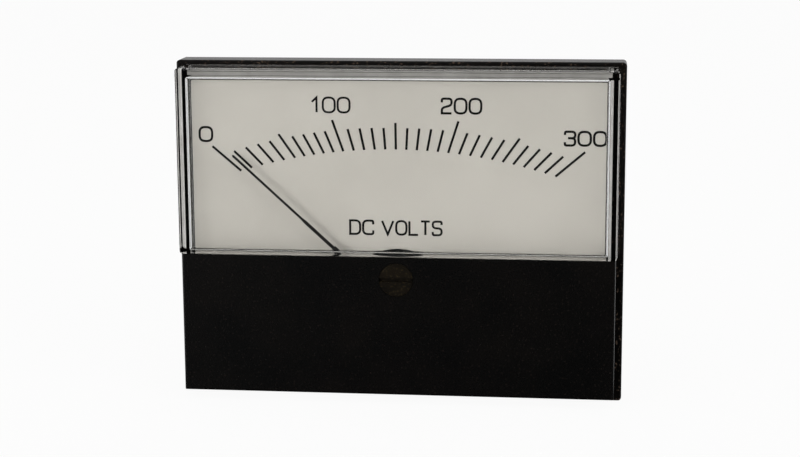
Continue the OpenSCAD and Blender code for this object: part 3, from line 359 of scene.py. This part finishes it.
finishes["wire_insulation"] = opaque_finish(
    "pvc_wire_insulation", ("#7a1f1c", "#8e2420"), patch_mm=5, grain_mm=0.8, height_mm=0.01,
    roughness=(0.4, 0.55), stripes=[(-30, "#1c1b1a"), (-15.5, "#8e2420"), (30, "#8e2420")])
# A pale matt finish for the beads under the window: painted light, which the walls carry forward as bright
# stripes.
pale_finish_painted_light = opaque_finish(
    "pale_bead_painted_light", ("#dedcd8", "#efedea"), patch_mm=3, grain_mm=0.4, height_mm=0.004,
    roughness=(0.6, 0.7), shader_values=SATIN)
# The same pale finish in grey for the top bead: painted shade, as less light falls along the top.
grey_finish_painted_shade = opaque_finish(
    "grey_finish_painted_shade", ("#9f9d99", "#aba9a5"), patch_mm=3, grain_mm=0.4, height_mm=0.004,
    roughness=(0.6, 0.7), shader_values=SATIN)
print("small pieces:", pale_finish_painted_light.name, finishes["stop_rubber"].name)

# %% [markdown]
# ## Winding
# The coil is enamelled copper wire, 0.08 mm thick, laid side by side round its frame. So fine a ridge
# can't show, so the turns are drawn 0.14 mm apart. A wave texture gives the ridges' bump, and dark lines
# between bright turns that are painted shade in the grooves.

# %% The copper winding
TURN_MM, RIDGE_MM = 0.14, 0.03
winding = bpy.data.materials.new("enamelled_copper_winding")
winding.use_nodes = True
tree = winding.node_tree
tree.nodes.clear()
place = add_node(tree, "ShaderNodeTexCoord")
# The wave texture repeats 10 / pi times in each unit of its scale
turns = add_node(tree, "ShaderNodeTexWave", {"Scale": math.pi / (10 * TURN_MM * MM)},
                 {"Vector": (place, "Object")}, bands_direction="Z")
# The dark tone between the bright turns is painted shade in the grooves.
copper = add_node(tree, "ShaderNodeMix", {MIX_A: linear("#6d2e14"), MIX_B: linear("#b5602f")},
                  {MIX_FACTOR: (turns, "Fac")}, data_type="RGBA")
ridges = add_node(tree, "ShaderNodeBump", {"Distance": RIDGE_MM * MM}, {"Height": (turns, "Fac")})
enamel = add_node(tree, "ShaderNodeBsdfPrincipled", {"Metallic": 0.7, "Roughness": 0.3},
                  {"Base Color": (copper, MIX_COLOUR), "Normal": (ridges, "Normal")})
add_node(tree, "ShaderNodeOutputMaterial", links={"Surface": (enamel, "BSDF")})
finishes["coil_copper"] = winding

# %% Dress the CAD nodes
for part in frame["record"]["subparts"]:
    piece = nodes[part["node"]]
    if not piece.material_slots:
        piece.data.materials.append(None)
    for slot in piece.material_slots:
        slot.material = finishes[part["material_slot"]]

# %% [markdown]
# ## Surfaces from grids
# Every added form is a profile carried along a path: a flat stroke of ink, a scale mark or a thread. The
# path gives rows, the profile gives columns, and one function turns such grids of points into a closed
# mesh, so no face is ever placed by hand.

# %% Mesh helpers
SHARP_DEGREES = 40  # faces that meet at more than this keep a sharp edge


def tube_faces(rows, columns, closed, first):
    """Quads between neighbouring rows of a grid that wraps across, and caps or a wrap at its ends."""
    row = np.arange(rows if closed else rows - 1)[:, None]
    column = np.arange(columns)[None, :]
    after, beside = (row + 1) % rows, (column + 1) % columns
    quads = np.stack([row * columns + column, row * columns + beside,
                      after * columns + beside, after * columns + column], axis=-1).reshape(-1, 4) + first
    caps = [] if closed else [list(range(first, first + columns)),
                              list(range(first + (rows - 1) * columns, first + rows * columns))]
    return quads.tolist() + caps


def mesh_piece(name, tubes, material, body):
    """One piece from tubes, each a (rows, columns, 3) grid in metres with a flag for a closed path."""
    points, faces, first = [], [], 0
    for grid, closed in tubes:
        rows, columns = grid.shape[:2]
        points.append(grid.reshape(-1, 3))
        faces += tube_faces(rows, columns, closed, first)
        first += rows * columns
    mesh = bpy.data.meshes.new(name)
    mesh.from_pydata(np.concatenate(points).tolist(), [], faces)
    shape = bmesh.new()
    shape.from_mesh(mesh)
    bmesh.ops.recalc_face_normals(shape, faces=shape.faces)
    shape.to_mesh(mesh)
    shape.free()
    mesh.polygons.foreach_set("use_smooth", np.ones(len(mesh.polygons), bool))
    mesh.set_sharp_from_angle(angle=math.radians(SHARP_DEGREES))
    piece = bpy.data.objects.new(name, mesh)
    bpy.context.scene.collection.objects.link(piece)
    mesh.materials.append(material)
    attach(piece, body)
    return piece


print("a bar of 2 rows and 4 columns has", len(tube_faces(2, 4, False, 0)), "faces")

# %% [markdown]
# ## Paths and strokes
# Ink and rubber are laid as strokes: a path is drawn with sharp corners, the corners are rounded, and the
# stroke then spreads to both sides of it. The path can be changed without touching the width.

# %% Path helpers
LEAST_COSINE = 0.4  # of half the turn at a bend, so that a sharp bend doesn't shoot out
SAME_POINT = 1e-6  # mm


def rounded_path(corners, radius, closed, steps=7):
    """A path in which each corner C gives way to the curve (1-t)^2 A + 2t(1-t) C + t^2 B, where A and B
    lie the radius before and after the corner. A radius of nought leaves the corner sharp."""
    corners = np.asarray(corners, float)
    before, after = np.roll(corners, 1, axis=0), np.roll(corners, -1, axis=0)
    reach = np.broadcast_to(np.asarray(radius, float), len(corners)).copy()
    if not closed:
        reach[[0, -1]] = 0
    to_before, to_after = before - corners, after - corners
    long_before = np.linalg.norm(to_before, axis=1)
    long_after = np.linalg.norm(to_after, axis=1)
    cut = np.minimum(reach, np.minimum(long_before, long_after) / 2)[:, None]
    a = corners + to_before / long_before[:, None] * cut
    b = corners + to_after / long_after[:, None] * cut
    t = np.linspace(0, 1, steps)[None, :, None]
    curves = (1 - t) ** 2 * a[:, None] + 2 * t * (1 - t) * corners[:, None] + t ** 2 * b[:, None]
    path = curves.reshape(-1, corners.shape[1])
    step = np.linalg.norm(np.diff(path, axis=0), axis=1)
    return path[np.concatenate([[True], step > SAME_POINT])]


def stroke(path, width, y_front, y_back, closed):
    """A flat band along a path in X and Z: each point goes half the width to both sides along the
    bisector, lengthened at a bend so that the band keeps its width."""
    ahead = np.roll(path, -1, axis=0) - path
    behind = path - np.roll(path, 1, axis=0)
    if not closed:
        ahead[-1], behind[0] = behind[-1], ahead[0]
    ahead /= np.linalg.norm(ahead, axis=1)[:, None]
    behind /= np.linalg.norm(behind, axis=1)[:, None]
    along = ahead + behind
    along /= np.linalg.norm(along, axis=1)[:, None]
    across = np.stack([-along[:, 1], along[:, 0]], axis=1)
    half = width / 2 / np.maximum(np.abs((along * ahead).sum(axis=1)), LEAST_COSINE)
    sides = path + across * half[:, None], path - across * half[:, None]
    corners = [(sides[0], y_front), (sides[0], y_back), (sides[1], y_back), (sides[1], y_front)]
    columns = [np.stack([p[:, 0], np.full(len(p), y), p[:, 1]], axis=1) for p, y in corners]
    return np.stack(columns, axis=1) * MM


square = [(0, 0), (1, 0), (1, 1), (0, 1)]
print("a square with rounded corners has", len(rounded_path(square, 0.2, True)), "points")

# %% [markdown]
# ## The scale
# The marks are printed for 0 to 300 in tens. A dial is calibrated at the fifties and divided evenly
# between them, so the marks stand nearly, but not quite, evenly. Their inner ends lie on an arc that is
# flatter than the pointer's circle, and each mark points at the pivot. Marks at the fifties, at the
# hundreds and at both ends are longer.

# %% Print the scale
INK_THICKNESS, INK_SUNK = 0.03, 0.002
dial_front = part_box("dial_plate")[0][1]
y_ink_back = dial_front / MM + INK_SUNK
y_ink_front = y_ink_back - INK_THICKNESS
joints = {joint["name"]: joint for joint in frame["joints"]}
pivot_x, pivot_z = (joints["pointer_swing"]["pos_m"][i] / MM for i in (0, 2))

CALIBRATED_X = (-37.7, -24.6, -13.0, -0.45, 11.95, 24.8, 37.2)  # inner ends at 0, 50 ... 300
MARK_WIDTH = 0.56
ARC_RADIUS, ARC_CENTRE_X, ARC_CENTRE_Z = 124.4, -0.9, -104.25
LAST_MARK, MIDDLE_MARK = 30, 15
END_LENGTH, HUNDRED_LENGTH, FIFTY_LENGTH, MIDDLE_LENGTH = 9.05, 7.9, 6.9, 6.35
PLAIN_LENGTH, PLAIN_GROWTH = 5.1, 0.8  # plain marks grow a little towards both ends
marks = np.arange(LAST_MARK + 1)
outwards = np.abs(marks - MIDDLE_MARK) / MIDDLE_MARK
mark_lengths = np.select(
    [np.isin(marks, (0, LAST_MARK)), np.isin(marks, (10, 20)), np.isin(marks, (5, 25)),
     marks == MIDDLE_MARK],
    [END_LENGTH, HUNDRED_LENGTH, FIFTY_LENGTH, MIDDLE_LENGTH], PLAIN_LENGTH + PLAIN_GROWTH * outwards)
inner_x = np.interp(marks, np.linspace(0, LAST_MARK, len(CALIBRATED_X)), CALIBRATED_X)
inner_z = ARC_CENTRE_Z + np.sqrt(ARC_RADIUS ** 2 - (inner_x - ARC_CENTRE_X) ** 2)
inner = np.stack([inner_x, inner_z], axis=1)
aim = inner - (pivot_x, pivot_z)
aim /= np.linalg.norm(aim, axis=1)[:, None]
outer = inner + aim * mark_lengths[:, None]
scale = mesh_piece("dial_scale", [
    (stroke(np.stack([start, end]), MARK_WIDTH, y_ink_front, y_ink_back, False), False)
    for start, end in zip(inner, outer)
], dial_ink, "case")
print("scale:", len(scale.data.polygons), "faces, from", inner[0].round(1), "to", inner[-1].round(1), "mm")

# %% [markdown]
# ## Figures and unit
# The figures are wide and squarish, drawn with one even stroke, as a pantograph engraver cuts them. Each
# is written as strokes in a unit square, whose corners are then rounded, and a line of them is set to
# its width on the dial. They stand so close that the noughts almost touch.

# %% Draw the letters
ROUND = 1.0
LETTERS = {  # width in mm, then strokes: corners in a unit square, corner radius, closed or not
    "0": (3.3, [([(0, 0), (1, 0), (1, 1), (0, 1)], 1.3, True)]),
    "1": (2.4, [([(0, 0.7), (0.58, 1), (0.58, 0)], 0, False)]),
    "2": (2.85, [([(0, 0.74), (0, 1), (1, 1), (1, 0.56), (0, 0.36), (0, 0), (1, 0)],
                  [0, ROUND, ROUND, 0.8, 0.7, 0, 0], False)]),
    "3": (2.85, [([(0, 0.76), (0, 1), (1, 1), (1, 0.53), (0.3, 0.53)], ROUND, False),
                 ([(0.3, 0.53), (1, 0.53), (1, 0), (0, 0), (0, 0.24)], ROUND, False)]),
    "D": (3.05, [([(0, 0), (1, 0), (1, 1), (0, 1)], [0, 1.3, 1.3, 0], True)]),
    "C": (3.1, [([(1, 0.72), (1, 1), (0, 1), (0, 0), (1, 0), (1, 0.28)], 1.15, False)]),
    "V": (3.35, [([(0, 1), (0.5, 0), (1, 1)], 0, False)]),
    "O": (3.1, [([(0, 0), (1, 0), (1, 1), (0, 1)], 1.25, True)]),
    "L": (2.7, [([(0, 1), (0, 0), (1, 0)], 0, False)]),
    "T": (2.75, [([(0, 1), (1, 1)], 0, False), ([(0.5, 1), (0.5, 0)], 0, False)]),
    "S": (2.75, [([(1, 0.76), (1, 1), (0, 1), (0, 0.53), (1, 0.49), (1, 0), (0, 0), (0, 0.24)],
                  [0, ROUND, ROUND, 0.8, 0.8, ROUND, ROUND, 0], False)]),
}
LETTER_GAP, WORD_GAP = 0.2, 1.5
print("letters:", " ".join(LETTERS))

# %% [markdown]
# ## Setting the lines
# A line's letters are laid side by side at their own widths, and the whole line is then stretched to the
# width that it has on the dial, as an engraver sets the ratio of a pantograph.

# %% Print the figures
def set_line(words, pen, left, right, low, high):
    """Strokes of a line of figures, its widths scaled to run from left to right between two heights."""
    advance = [WORD_GAP if c == " " else LETTERS[c][0] + LETTER_GAP for c in words]
    stretch = (right - left) / (sum(advance) - LETTER_GAP)
    starts = left + stretch * np.concatenate([[0], np.cumsum(advance)[:-1]])
    tubes = []
    for start, letter in zip(starts, words):
        if letter == " ":
            continue
        width, strokes = LETTERS[letter]
        for corners, radius, closed in strokes:
            span = np.array([width * stretch - pen, high - low - pen])
            path = np.array(corners) * span + (start + pen / 2, low + pen / 2)
            path = rounded_path(path, radius, closed)
            tubes.append((stroke(path, pen, y_ink_front, y_ink_back, closed), closed))
    return tubes


FIGURES = [  # words, the pen's width, then left, right, foot and top on the dial, all in mm
    ("0", 0.56, -47.9, -44.3, 21.4, 25.3),
    ("100", 0.5, -20.65, -11.15, 28.6, 32.6),
    ("200", 0.54, 10.2, 20.0, 28.6, 32.6),
    ("300", 0.56, 39.05, 49.25, 21.3, 25.1),
    ("DC VOLTS", 0.52, -11.8, 10.65, -0.6, 3.2),
]
figures = mesh_piece("dial_figures", [tube for line in FIGURES for tube in set_line(*line)],
                     dial_ink, "case")
print("figures:", len(figures.data.polygons), "faces")

# %% [markdown]
# ## The needle's lacquer
# The needle is dipped in black lacquer, which leaves it a little wider than its wire. The coat is
# a flat sleeve on the line from the pivot to the tip, and it rides on the pointer.

# %% Coat the needle
NEEDLE_FROM, SHORT_OF_TIP = 30.5, 0.3  # mm from the pivot, and left bare at the tip
COAT_WIDTH, COAT_DEPTH, COAT_PROUD = 0.5, 0.39, 0.02
pointer_low, pointer_high = (np.array(v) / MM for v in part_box("pointer"))
tip = np.array([pointer_low[0], pointer_high[2]])
needle_aim = tip - (pivot_x, pivot_z)
needle_length = np.linalg.norm(needle_aim)
needle_aim /= needle_length
needle_start = np.array([pivot_x, pivot_z]) + NEEDLE_FROM * needle_aim
needle_end = np.array([pivot_x, pivot_z]) + (needle_length - SHORT_OF_TIP) * needle_aim
y_coat = pointer_low[1] - COAT_PROUD
needle_coat = mesh_piece("needle_coat", [
    (stroke(np.stack([needle_start, needle_end]), COAT_WIDTH, y_coat, y_coat + COAT_DEPTH, False), False),
], finishes["pointer_black"], joints["pointer_swing"]["child"])
print(needle_coat.name, "from", needle_start.round(1), "to", needle_end.round(1), "mm")

# %% [markdown]
# ## Pale beads under the window: painted light
# Two pale beads lie in the cover's foot as painted light. The walls above them carry their image forward,
# as light guides do, so from the front each wall shows pale and dark stripes, which stand in for the light
# that real walls bend and reflect. Along the top the inner bead is greyer, a painted shade where less
# light falls. A thin pale strip of the same finish fills the slit between the window's ledge and the
# mask, a painted highlight along the ledge.

# %% Lay the pale beads of painted light
Y_FOOT = -7.6  # the flange's front, where the cover stands
BEAD_FROM, BEAD_TO = Y_FOOT - 0.06, Y_FOOT - 0.01
SLIT_FROM, SLIT_TO = -15.4, -14.1  # depth of the slit above the mask
WINDOW_BOTTOM = -4.7
FOOT_CORNER = 1.0
RIM_WIDTH, SIDE_WIDTH, TOP_WIDTH, SLIT_WIDTH = 0.4, 0.65, 0.85, 0.06
RIM_INSET, SIDE_INSET, TOP_INSET = 0.22, 1.82, 1.75  # from the cover's outside to a bead's middle
CORNER_GAP = 1  # from the side beads' ends to the middle of the top one
SLIT_BELOW, SLIT_INSET = 0.05, 1
cover_half, cover_top = cover_high[0] / MM, cover_high[2] / MM


def flat_bead(corners, width, y_front=BEAD_FROM, y_back=BEAD_TO):
    """A flat bead along a path in X and Z whose corners are rounded; its pale finish is painted light."""
    return stroke(rounded_path(corners, FOOT_CORNER, False), width, y_front, y_back, False), False


rim_x, rim_top = cover_half - RIM_INSET, cover_top - RIM_INSET
side_x, top_z = cover_half - SIDE_INSET, cover_top - TOP_INSET
slit_z, slit_half = WINDOW_BOTTOM - SLIT_BELOW, cover_half - SLIT_INSET
rim = [(-rim_x, WINDOW_BOTTOM), (-rim_x, rim_top), (rim_x, rim_top), (rim_x, WINDOW_BOTTOM)]
# The pale beads and the slit strip: painted light in the walls' stripes and along the window's ledge.
beads_painted_light = mesh_piece("cover_beads_painted_light", [
    flat_bead(rim, RIM_WIDTH),
    flat_bead([(-side_x, WINDOW_BOTTOM), (-side_x, top_z - CORNER_GAP)], SIDE_WIDTH),
    flat_bead([(side_x, WINDOW_BOTTOM), (side_x, top_z - CORNER_GAP)], SIDE_WIDTH),
    flat_bead([(-slit_half, slit_z), (slit_half, slit_z)], SLIT_WIDTH, SLIT_FROM, SLIT_TO),
], pale_finish_painted_light, "case")
# The greyer top bead: painted shade along the top wall.
top_bead_painted_shade = mesh_piece("cover_top_bead_painted_shade", [
    flat_bead([(-side_x, top_z), (side_x, top_z)], TOP_WIDTH),
], grey_finish_painted_shade, "case")
print(beads_painted_light.name, "and", top_bead_painted_shade.name, "are", round(BEAD_TO - BEAD_FROM, 2), "mm thick")

# %% [markdown]
# ## Threads
# A thread is one surface: at each angle the radius follows a rounded V wave along the axis, and the wave
# moves on by one pitch in a turn. It fades in over one pitch where the thread begins, and runs on out of
# the tip. The studs get a metric pitch and the terminals a slightly coarser one.

# %% The thread's surface
ROUNDING = 1.4  # above 1 it widens the crest and narrows the groove


def threaded_bar(x, z, y_radii, thread_from, thread_to, pitch, depth, around=28, per_pitch=8):
    """A bar along Y through (y, radius) pairs in mm. Its radius is the outline's less depth * fade * wave,
    and the wave goes with y / pitch less the angle in turns."""
    ys, radii = np.array(y_radii).T
    rows = int((ys[-1] - ys[0]) / pitch * per_pitch)
    y = np.unique(np.concatenate([ys, np.linspace(ys[0], ys[-1], rows)]))[:, None]
    angle = np.linspace(0, 2 * np.pi, around, endpoint=False)[None, :]
    wave = 0.5 + 0.5 * np.cos(2 * np.pi * y / pitch - angle)
    fade = np.clip(np.minimum(y - thread_from, thread_to - y) / pitch, 0, 1)
    r = np.interp(y, ys, radii) - depth * fade * wave ** ROUNDING
    return np.stack([x + r * np.cos(angle), y + 0 * angle, z + r * np.sin(angle)], axis=-1) * MM, False


print("half-way from crest to groove, the cut is", round(0.5 ** ROUNDING, 2), "of its depth")

# %% Cut the studs' threads
TIP = 0.5  # length and depth of the bevel at a thread's end
PAST_TIP = 1  # the thread is drawn on past the tip, so that it doesn't fade there
STUD_PITCH, STUD_DEPTH = 0.7, 0.36
PLAIN_NECK = 0.3  # behind the flange
ROOT_END = -0.001  # the wider root stops just short of the flange's back
stud_low, stud_high = (np.array(v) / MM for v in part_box("mounting_studs"))
mounts = {mount["name"]: mount for mount in frame["record"]["mounts"]}
stud_dims = mounts["mounting_studs"]["dims"]
stud_r = stud_dims["stud_r_mm"]
stud_x, stud_z = stud_dims["spacing_x_mm"] / 2, stud_dims["spacing_y_mm"] / 2
root_r = stud_high[0] - stud_x
stud_outline = [(stud_low[1], root_r), (ROOT_END, root_r), (0, stud_r), (stud_high[1] - TIP, stud_r),
                (stud_high[1], stud_r - TIP)]
studs = mesh_piece("threaded_studs", [
    threaded_bar(side * stud_x, level * stud_z, stud_outline, PLAIN_NECK, stud_high[1] + PAST_TIP,
                 STUD_PITCH, STUD_DEPTH)
    for side in (-1, 1) for level in (-1, 1)
], finishes["stud_brass"], "case")
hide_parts("mounting_studs")
print("studs:", len(studs.data.polygons), "faces")

# %% [markdown]
# ## Terminals
# Each terminal is a brass bolt whose hexagonal head is held inside the barrel. Behind its two nuts the
# end is free, and there the thread shows. The head is a six-sided prism with a small bevel.

# %% Cut the terminals
TERMINAL_PITCH, TERMINAL_DEPTH = 0.79, 0.4
HEAD_LENGTH, HEAD_BEVEL = 3.2, 0.3
NUTS_FROM, NUTS_TO, NUTTED_R = 30.0, 38.3, 2.15  # where the nuts sit, at the middle of the thread
STEP = 0.01  # length over which the radius changes there


def hexagonal_head(x, z, y_from, y_to, corner_r, first_angle):
    """A hexagonal prism along Y: six points at corner_r, drawn in by the bevel at both ends."""
    angle = first_angle + np.linspace(0, 2 * np.pi, 6, endpoint=False)[None, :]
    y = np.array([y_from, y_from + HEAD_BEVEL, y_to - HEAD_BEVEL, y_to])[:, None]
    r = np.array([corner_r - HEAD_BEVEL, corner_r, corner_r, corner_r - HEAD_BEVEL])[:, None]
    return np.stack([x + r * np.cos(angle), y + 0 * angle, z + r * np.sin(angle)], axis=-1) * MM, False


for side in ("left", "right"):
    node = "terminal_" + side
    low, high = (np.array(v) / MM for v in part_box(node))
    x, z = mounts[node]["pos_m"][0] / MM, mounts[node]["pos_m"][2] / MM
    thread_r = mounts[node]["dims"]["r_mm"]
    reach_x, reach_z = high[0] - x, high[2] - z  # the head reaches furthest where it has a corner
    corner_angle = 0 if reach_x > reach_z else np.pi / 2
    head_end = low[1] + HEAD_LENGTH
    bolt_outline = [(head_end - HEAD_BEVEL, thread_r), (NUTS_FROM, thread_r), (NUTS_FROM + STEP, NUTTED_R),
                    (NUTS_TO, NUTTED_R), (NUTS_TO + STEP, thread_r), (high[1] - TIP, thread_r),
                    (high[1], thread_r - TIP)]
    bolt = mesh_piece("threaded_" + node, [
        hexagonal_head(x, z, low[1], head_end, max(reach_x, reach_z), corner_angle),
        threaded_bar(x, z, bolt_outline, NUTS_TO, high[1] + PAST_TIP, TERMINAL_PITCH, TERMINAL_DEPTH),
    ], finishes["stud_brass"], "case")
    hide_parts(node)
    print(node, len(bolt.data.polygons), "faces")

# %% [markdown]
# ## Light
# A large soft lamp stands to the left at the meter's own level, as daylight from a window does, and
# throws the needle's soft shadow to the right across the dial. Two weaker ones to the right and above
# lift the shadows.

# %% Place the lamps
def soft_lamp(name, place, size, power):
    """A square area lamp aimed at the middle of the part, in metres and watts."""
    lamp = bpy.data.objects.new(name, bpy.data.lights.new(name, "AREA"))
    lamp.data.size, lamp.data.energy = size, power
    lamp.location = place
    lamp.rotation_euler = (-Vector(place)).to_track_quat("-Z", "Y").to_euler()
    lamp.visible_transmission = False  # shadow rays through the acrylic already bring its light
    bpy.context.scene.collection.objects.link(lamp)
    print(name, power, "W")


soft_lamp("lamp_left", place=(-0.95, -0.85, 0.02), size=0.55, power=10.8)
soft_lamp("lamp_right", place=(0.95, -0.75, 0.45), size=0.7, power=5.0)
soft_lamp("lamp_above", place=(-0.1, -0.75, 1.05), size=0.7, power=1.4)

# %% [markdown]
# ## Backdrop
# The Light Path node tells what kind of ray arrives, so the world can differ for each. It is white to
# the eye and a plain fill for matt surfaces. In gloss and glass it is white behind the part and dim on
# the camera's side, as a room behind a lit table is, so the black front stays black. A ray that has met
# a matt surface only carries the plain fill.

# %% Light the backdrop
FILL, BEHIND_CAMERA = 0.5, 0.06  # strength of diffuse light, and of what the front mirrors
TURN = 0.3  # the Y share of a direction at which the room has turned from dim to white


def mirror_rays(tree, rays):
    """Gives 1 for a glossy or glass ray that has met no matt surface, and otherwise 0: the greater of
    the two flags, times whether the diffuse depth is still nought."""
    gloss_or_glass = add_node(tree, "ShaderNodeMath", links={
        0: (rays, "Is Glossy Ray"), 1: (rays, "Is Transmission Ray")}, operation="MAXIMUM")
    seen_directly = add_node(tree, "ShaderNodeMath", {1: 0.5}, {0: (rays, "Diffuse Depth")},
                             operation="LESS_THAN")
    return add_node(tree, "ShaderNodeMath", links={
        0: (gloss_or_glass, "Value"), 1: (seen_directly, "Value")}, operation="MULTIPLY")


world = bpy.data.worlds.new("studio")
bpy.context.scene.world = world
world.use_nodes = True
sky = world.node_tree
sky.nodes.clear()
rays = add_node(sky, "ShaderNodeLightPath")
directions = add_node(sky, "ShaderNodeTexCoord")
axes = add_node(sky, "ShaderNodeSeparateXYZ", links={"Vector": (directions, "Generated")})
around = add_node(sky, "ShaderNodeMapRange",
                  {"From Min": -TURN, "From Max": TURN, "To Min": BEHIND_CAMERA, "To Max": 1.0},
                  {"Value": (axes, "Y")})
mirrored = add_node(sky, "ShaderNodeMix", {MIX_LOW: FILL}, {
    MIX_FACTOR: (mirror_rays(sky, rays), "Value"), MIX_HIGH: (around, "Result")}, data_type="FLOAT")
level = add_node(sky, "ShaderNodeMix", {MIX_HIGH: 1.0}, {
    MIX_FACTOR: (rays, "Is Camera Ray"), MIX_LOW: (mirrored, MIX_NUMBER)}, data_type="FLOAT")
backdrop = add_node(sky, "ShaderNodeBackground", {"Color": linear("#ffffff")},
                    {"Strength": (level, MIX_NUMBER)})
add_node(sky, "ShaderNodeOutputWorld", links={"Surface": (backdrop, "Background")})
print("backdrop:", FILL, "for diffuse light,", BEHIND_CAMERA, "in front")

# %% [markdown]
# ## Floor
# The floor is a wide pale sheet under the flange. To the eye it is mostly a steady white, which joins
# the backdrop without a line, and a share of plain paint under it keeps the part's soft shadow. Gloss
# and glass see it white behind the part and dark in front, as they see the room.

# %% Lay the floor
FLOOR_HALF = 3.0  # metres
FLOOR_GAP = 0.05  # mm
floor_z = cad_low[2] - FLOOR_GAP * MM
floor_mesh = bpy.data.meshes.new("floor")
floor_corners = [(x * FLOOR_HALF, y * FLOOR_HALF, floor_z) for x, y in ((-1, -1), (1, -1), (1, 1), (-1, 1))]
floor_mesh.from_pydata(floor_corners, [], [(0, 1, 2, 3)])
floor = bpy.data.objects.new("floor", floor_mesh)
bpy.context.scene.collection.objects.link(floor)
print("floor at z", round(floor_z / MM, 2), "mm")

# %% Paint the floor
WHITE_SHARE = 0.94
DARK_TO, WHITE_FROM = -8, 10  # mm along Y, under the flange's front and behind it
paper = bpy.data.materials.new("pale_paper_floor")
paper.use_nodes = True
tree = paper.node_tree
tree.nodes.clear()
rays = add_node(tree, "ShaderNodeLightPath")
place = add_node(tree, "ShaderNodeTexCoord")
axes = add_node(tree, "ShaderNodeSeparateXYZ", links={"Vector": (place, "Object")})
behind = add_node(tree, "ShaderNodeMapRange", {"From Min": DARK_TO * MM, "From Max": WHITE_FROM * MM},
                  {"Value": (axes, "Y")})
mirror_share = mirror_rays(tree, rays)
mirrored_behind = add_node(tree, "ShaderNodeMath", links={
    0: (mirror_share, "Value"), 1: (behind, "Result")}, operation="MULTIPLY")
mirrored_front = add_node(tree, "ShaderNodeMath", links={
    0: (mirror_share, "Value"), 1: (mirrored_behind, "Value")}, operation="SUBTRACT")
white = add_node(tree, "ShaderNodeMath", links={
    0: (rays, "Is Camera Ray"), 1: (mirrored_behind, "Value")}, operation="MAXIMUM")
share = add_node(tree, "ShaderNodeMath", {1: WHITE_SHARE}, {0: (white, "Value")}, operation="MULTIPLY")
tone = add_node(tree, "ShaderNodeMix", {MIX_A: linear("#f2f2f0"), MIX_B: linear("#161616")},
                {MIX_FACTOR: (mirrored_front, "Value")}, data_type="RGBA")
sheet = add_node(tree, "ShaderNodeBsdfPrincipled", {"Roughness": 0.8, "Specular IOR Level": 0.1},
                 {"Base Color": (tone, MIX_COLOUR)})
glow = add_node(tree, "ShaderNodeEmission", {"Color": linear("#ffffff")})
mix = add_node(tree, "ShaderNodeMixShader", links={
    0: (share, "Value"), 1: (sheet, "BSDF"), 2: (glow, "Emission")})
add_node(tree, "ShaderNodeOutputMaterial", links={"Surface": (mix, "Shader")})
floor_mesh.materials.append(paper)
print("floor:", paper.name)
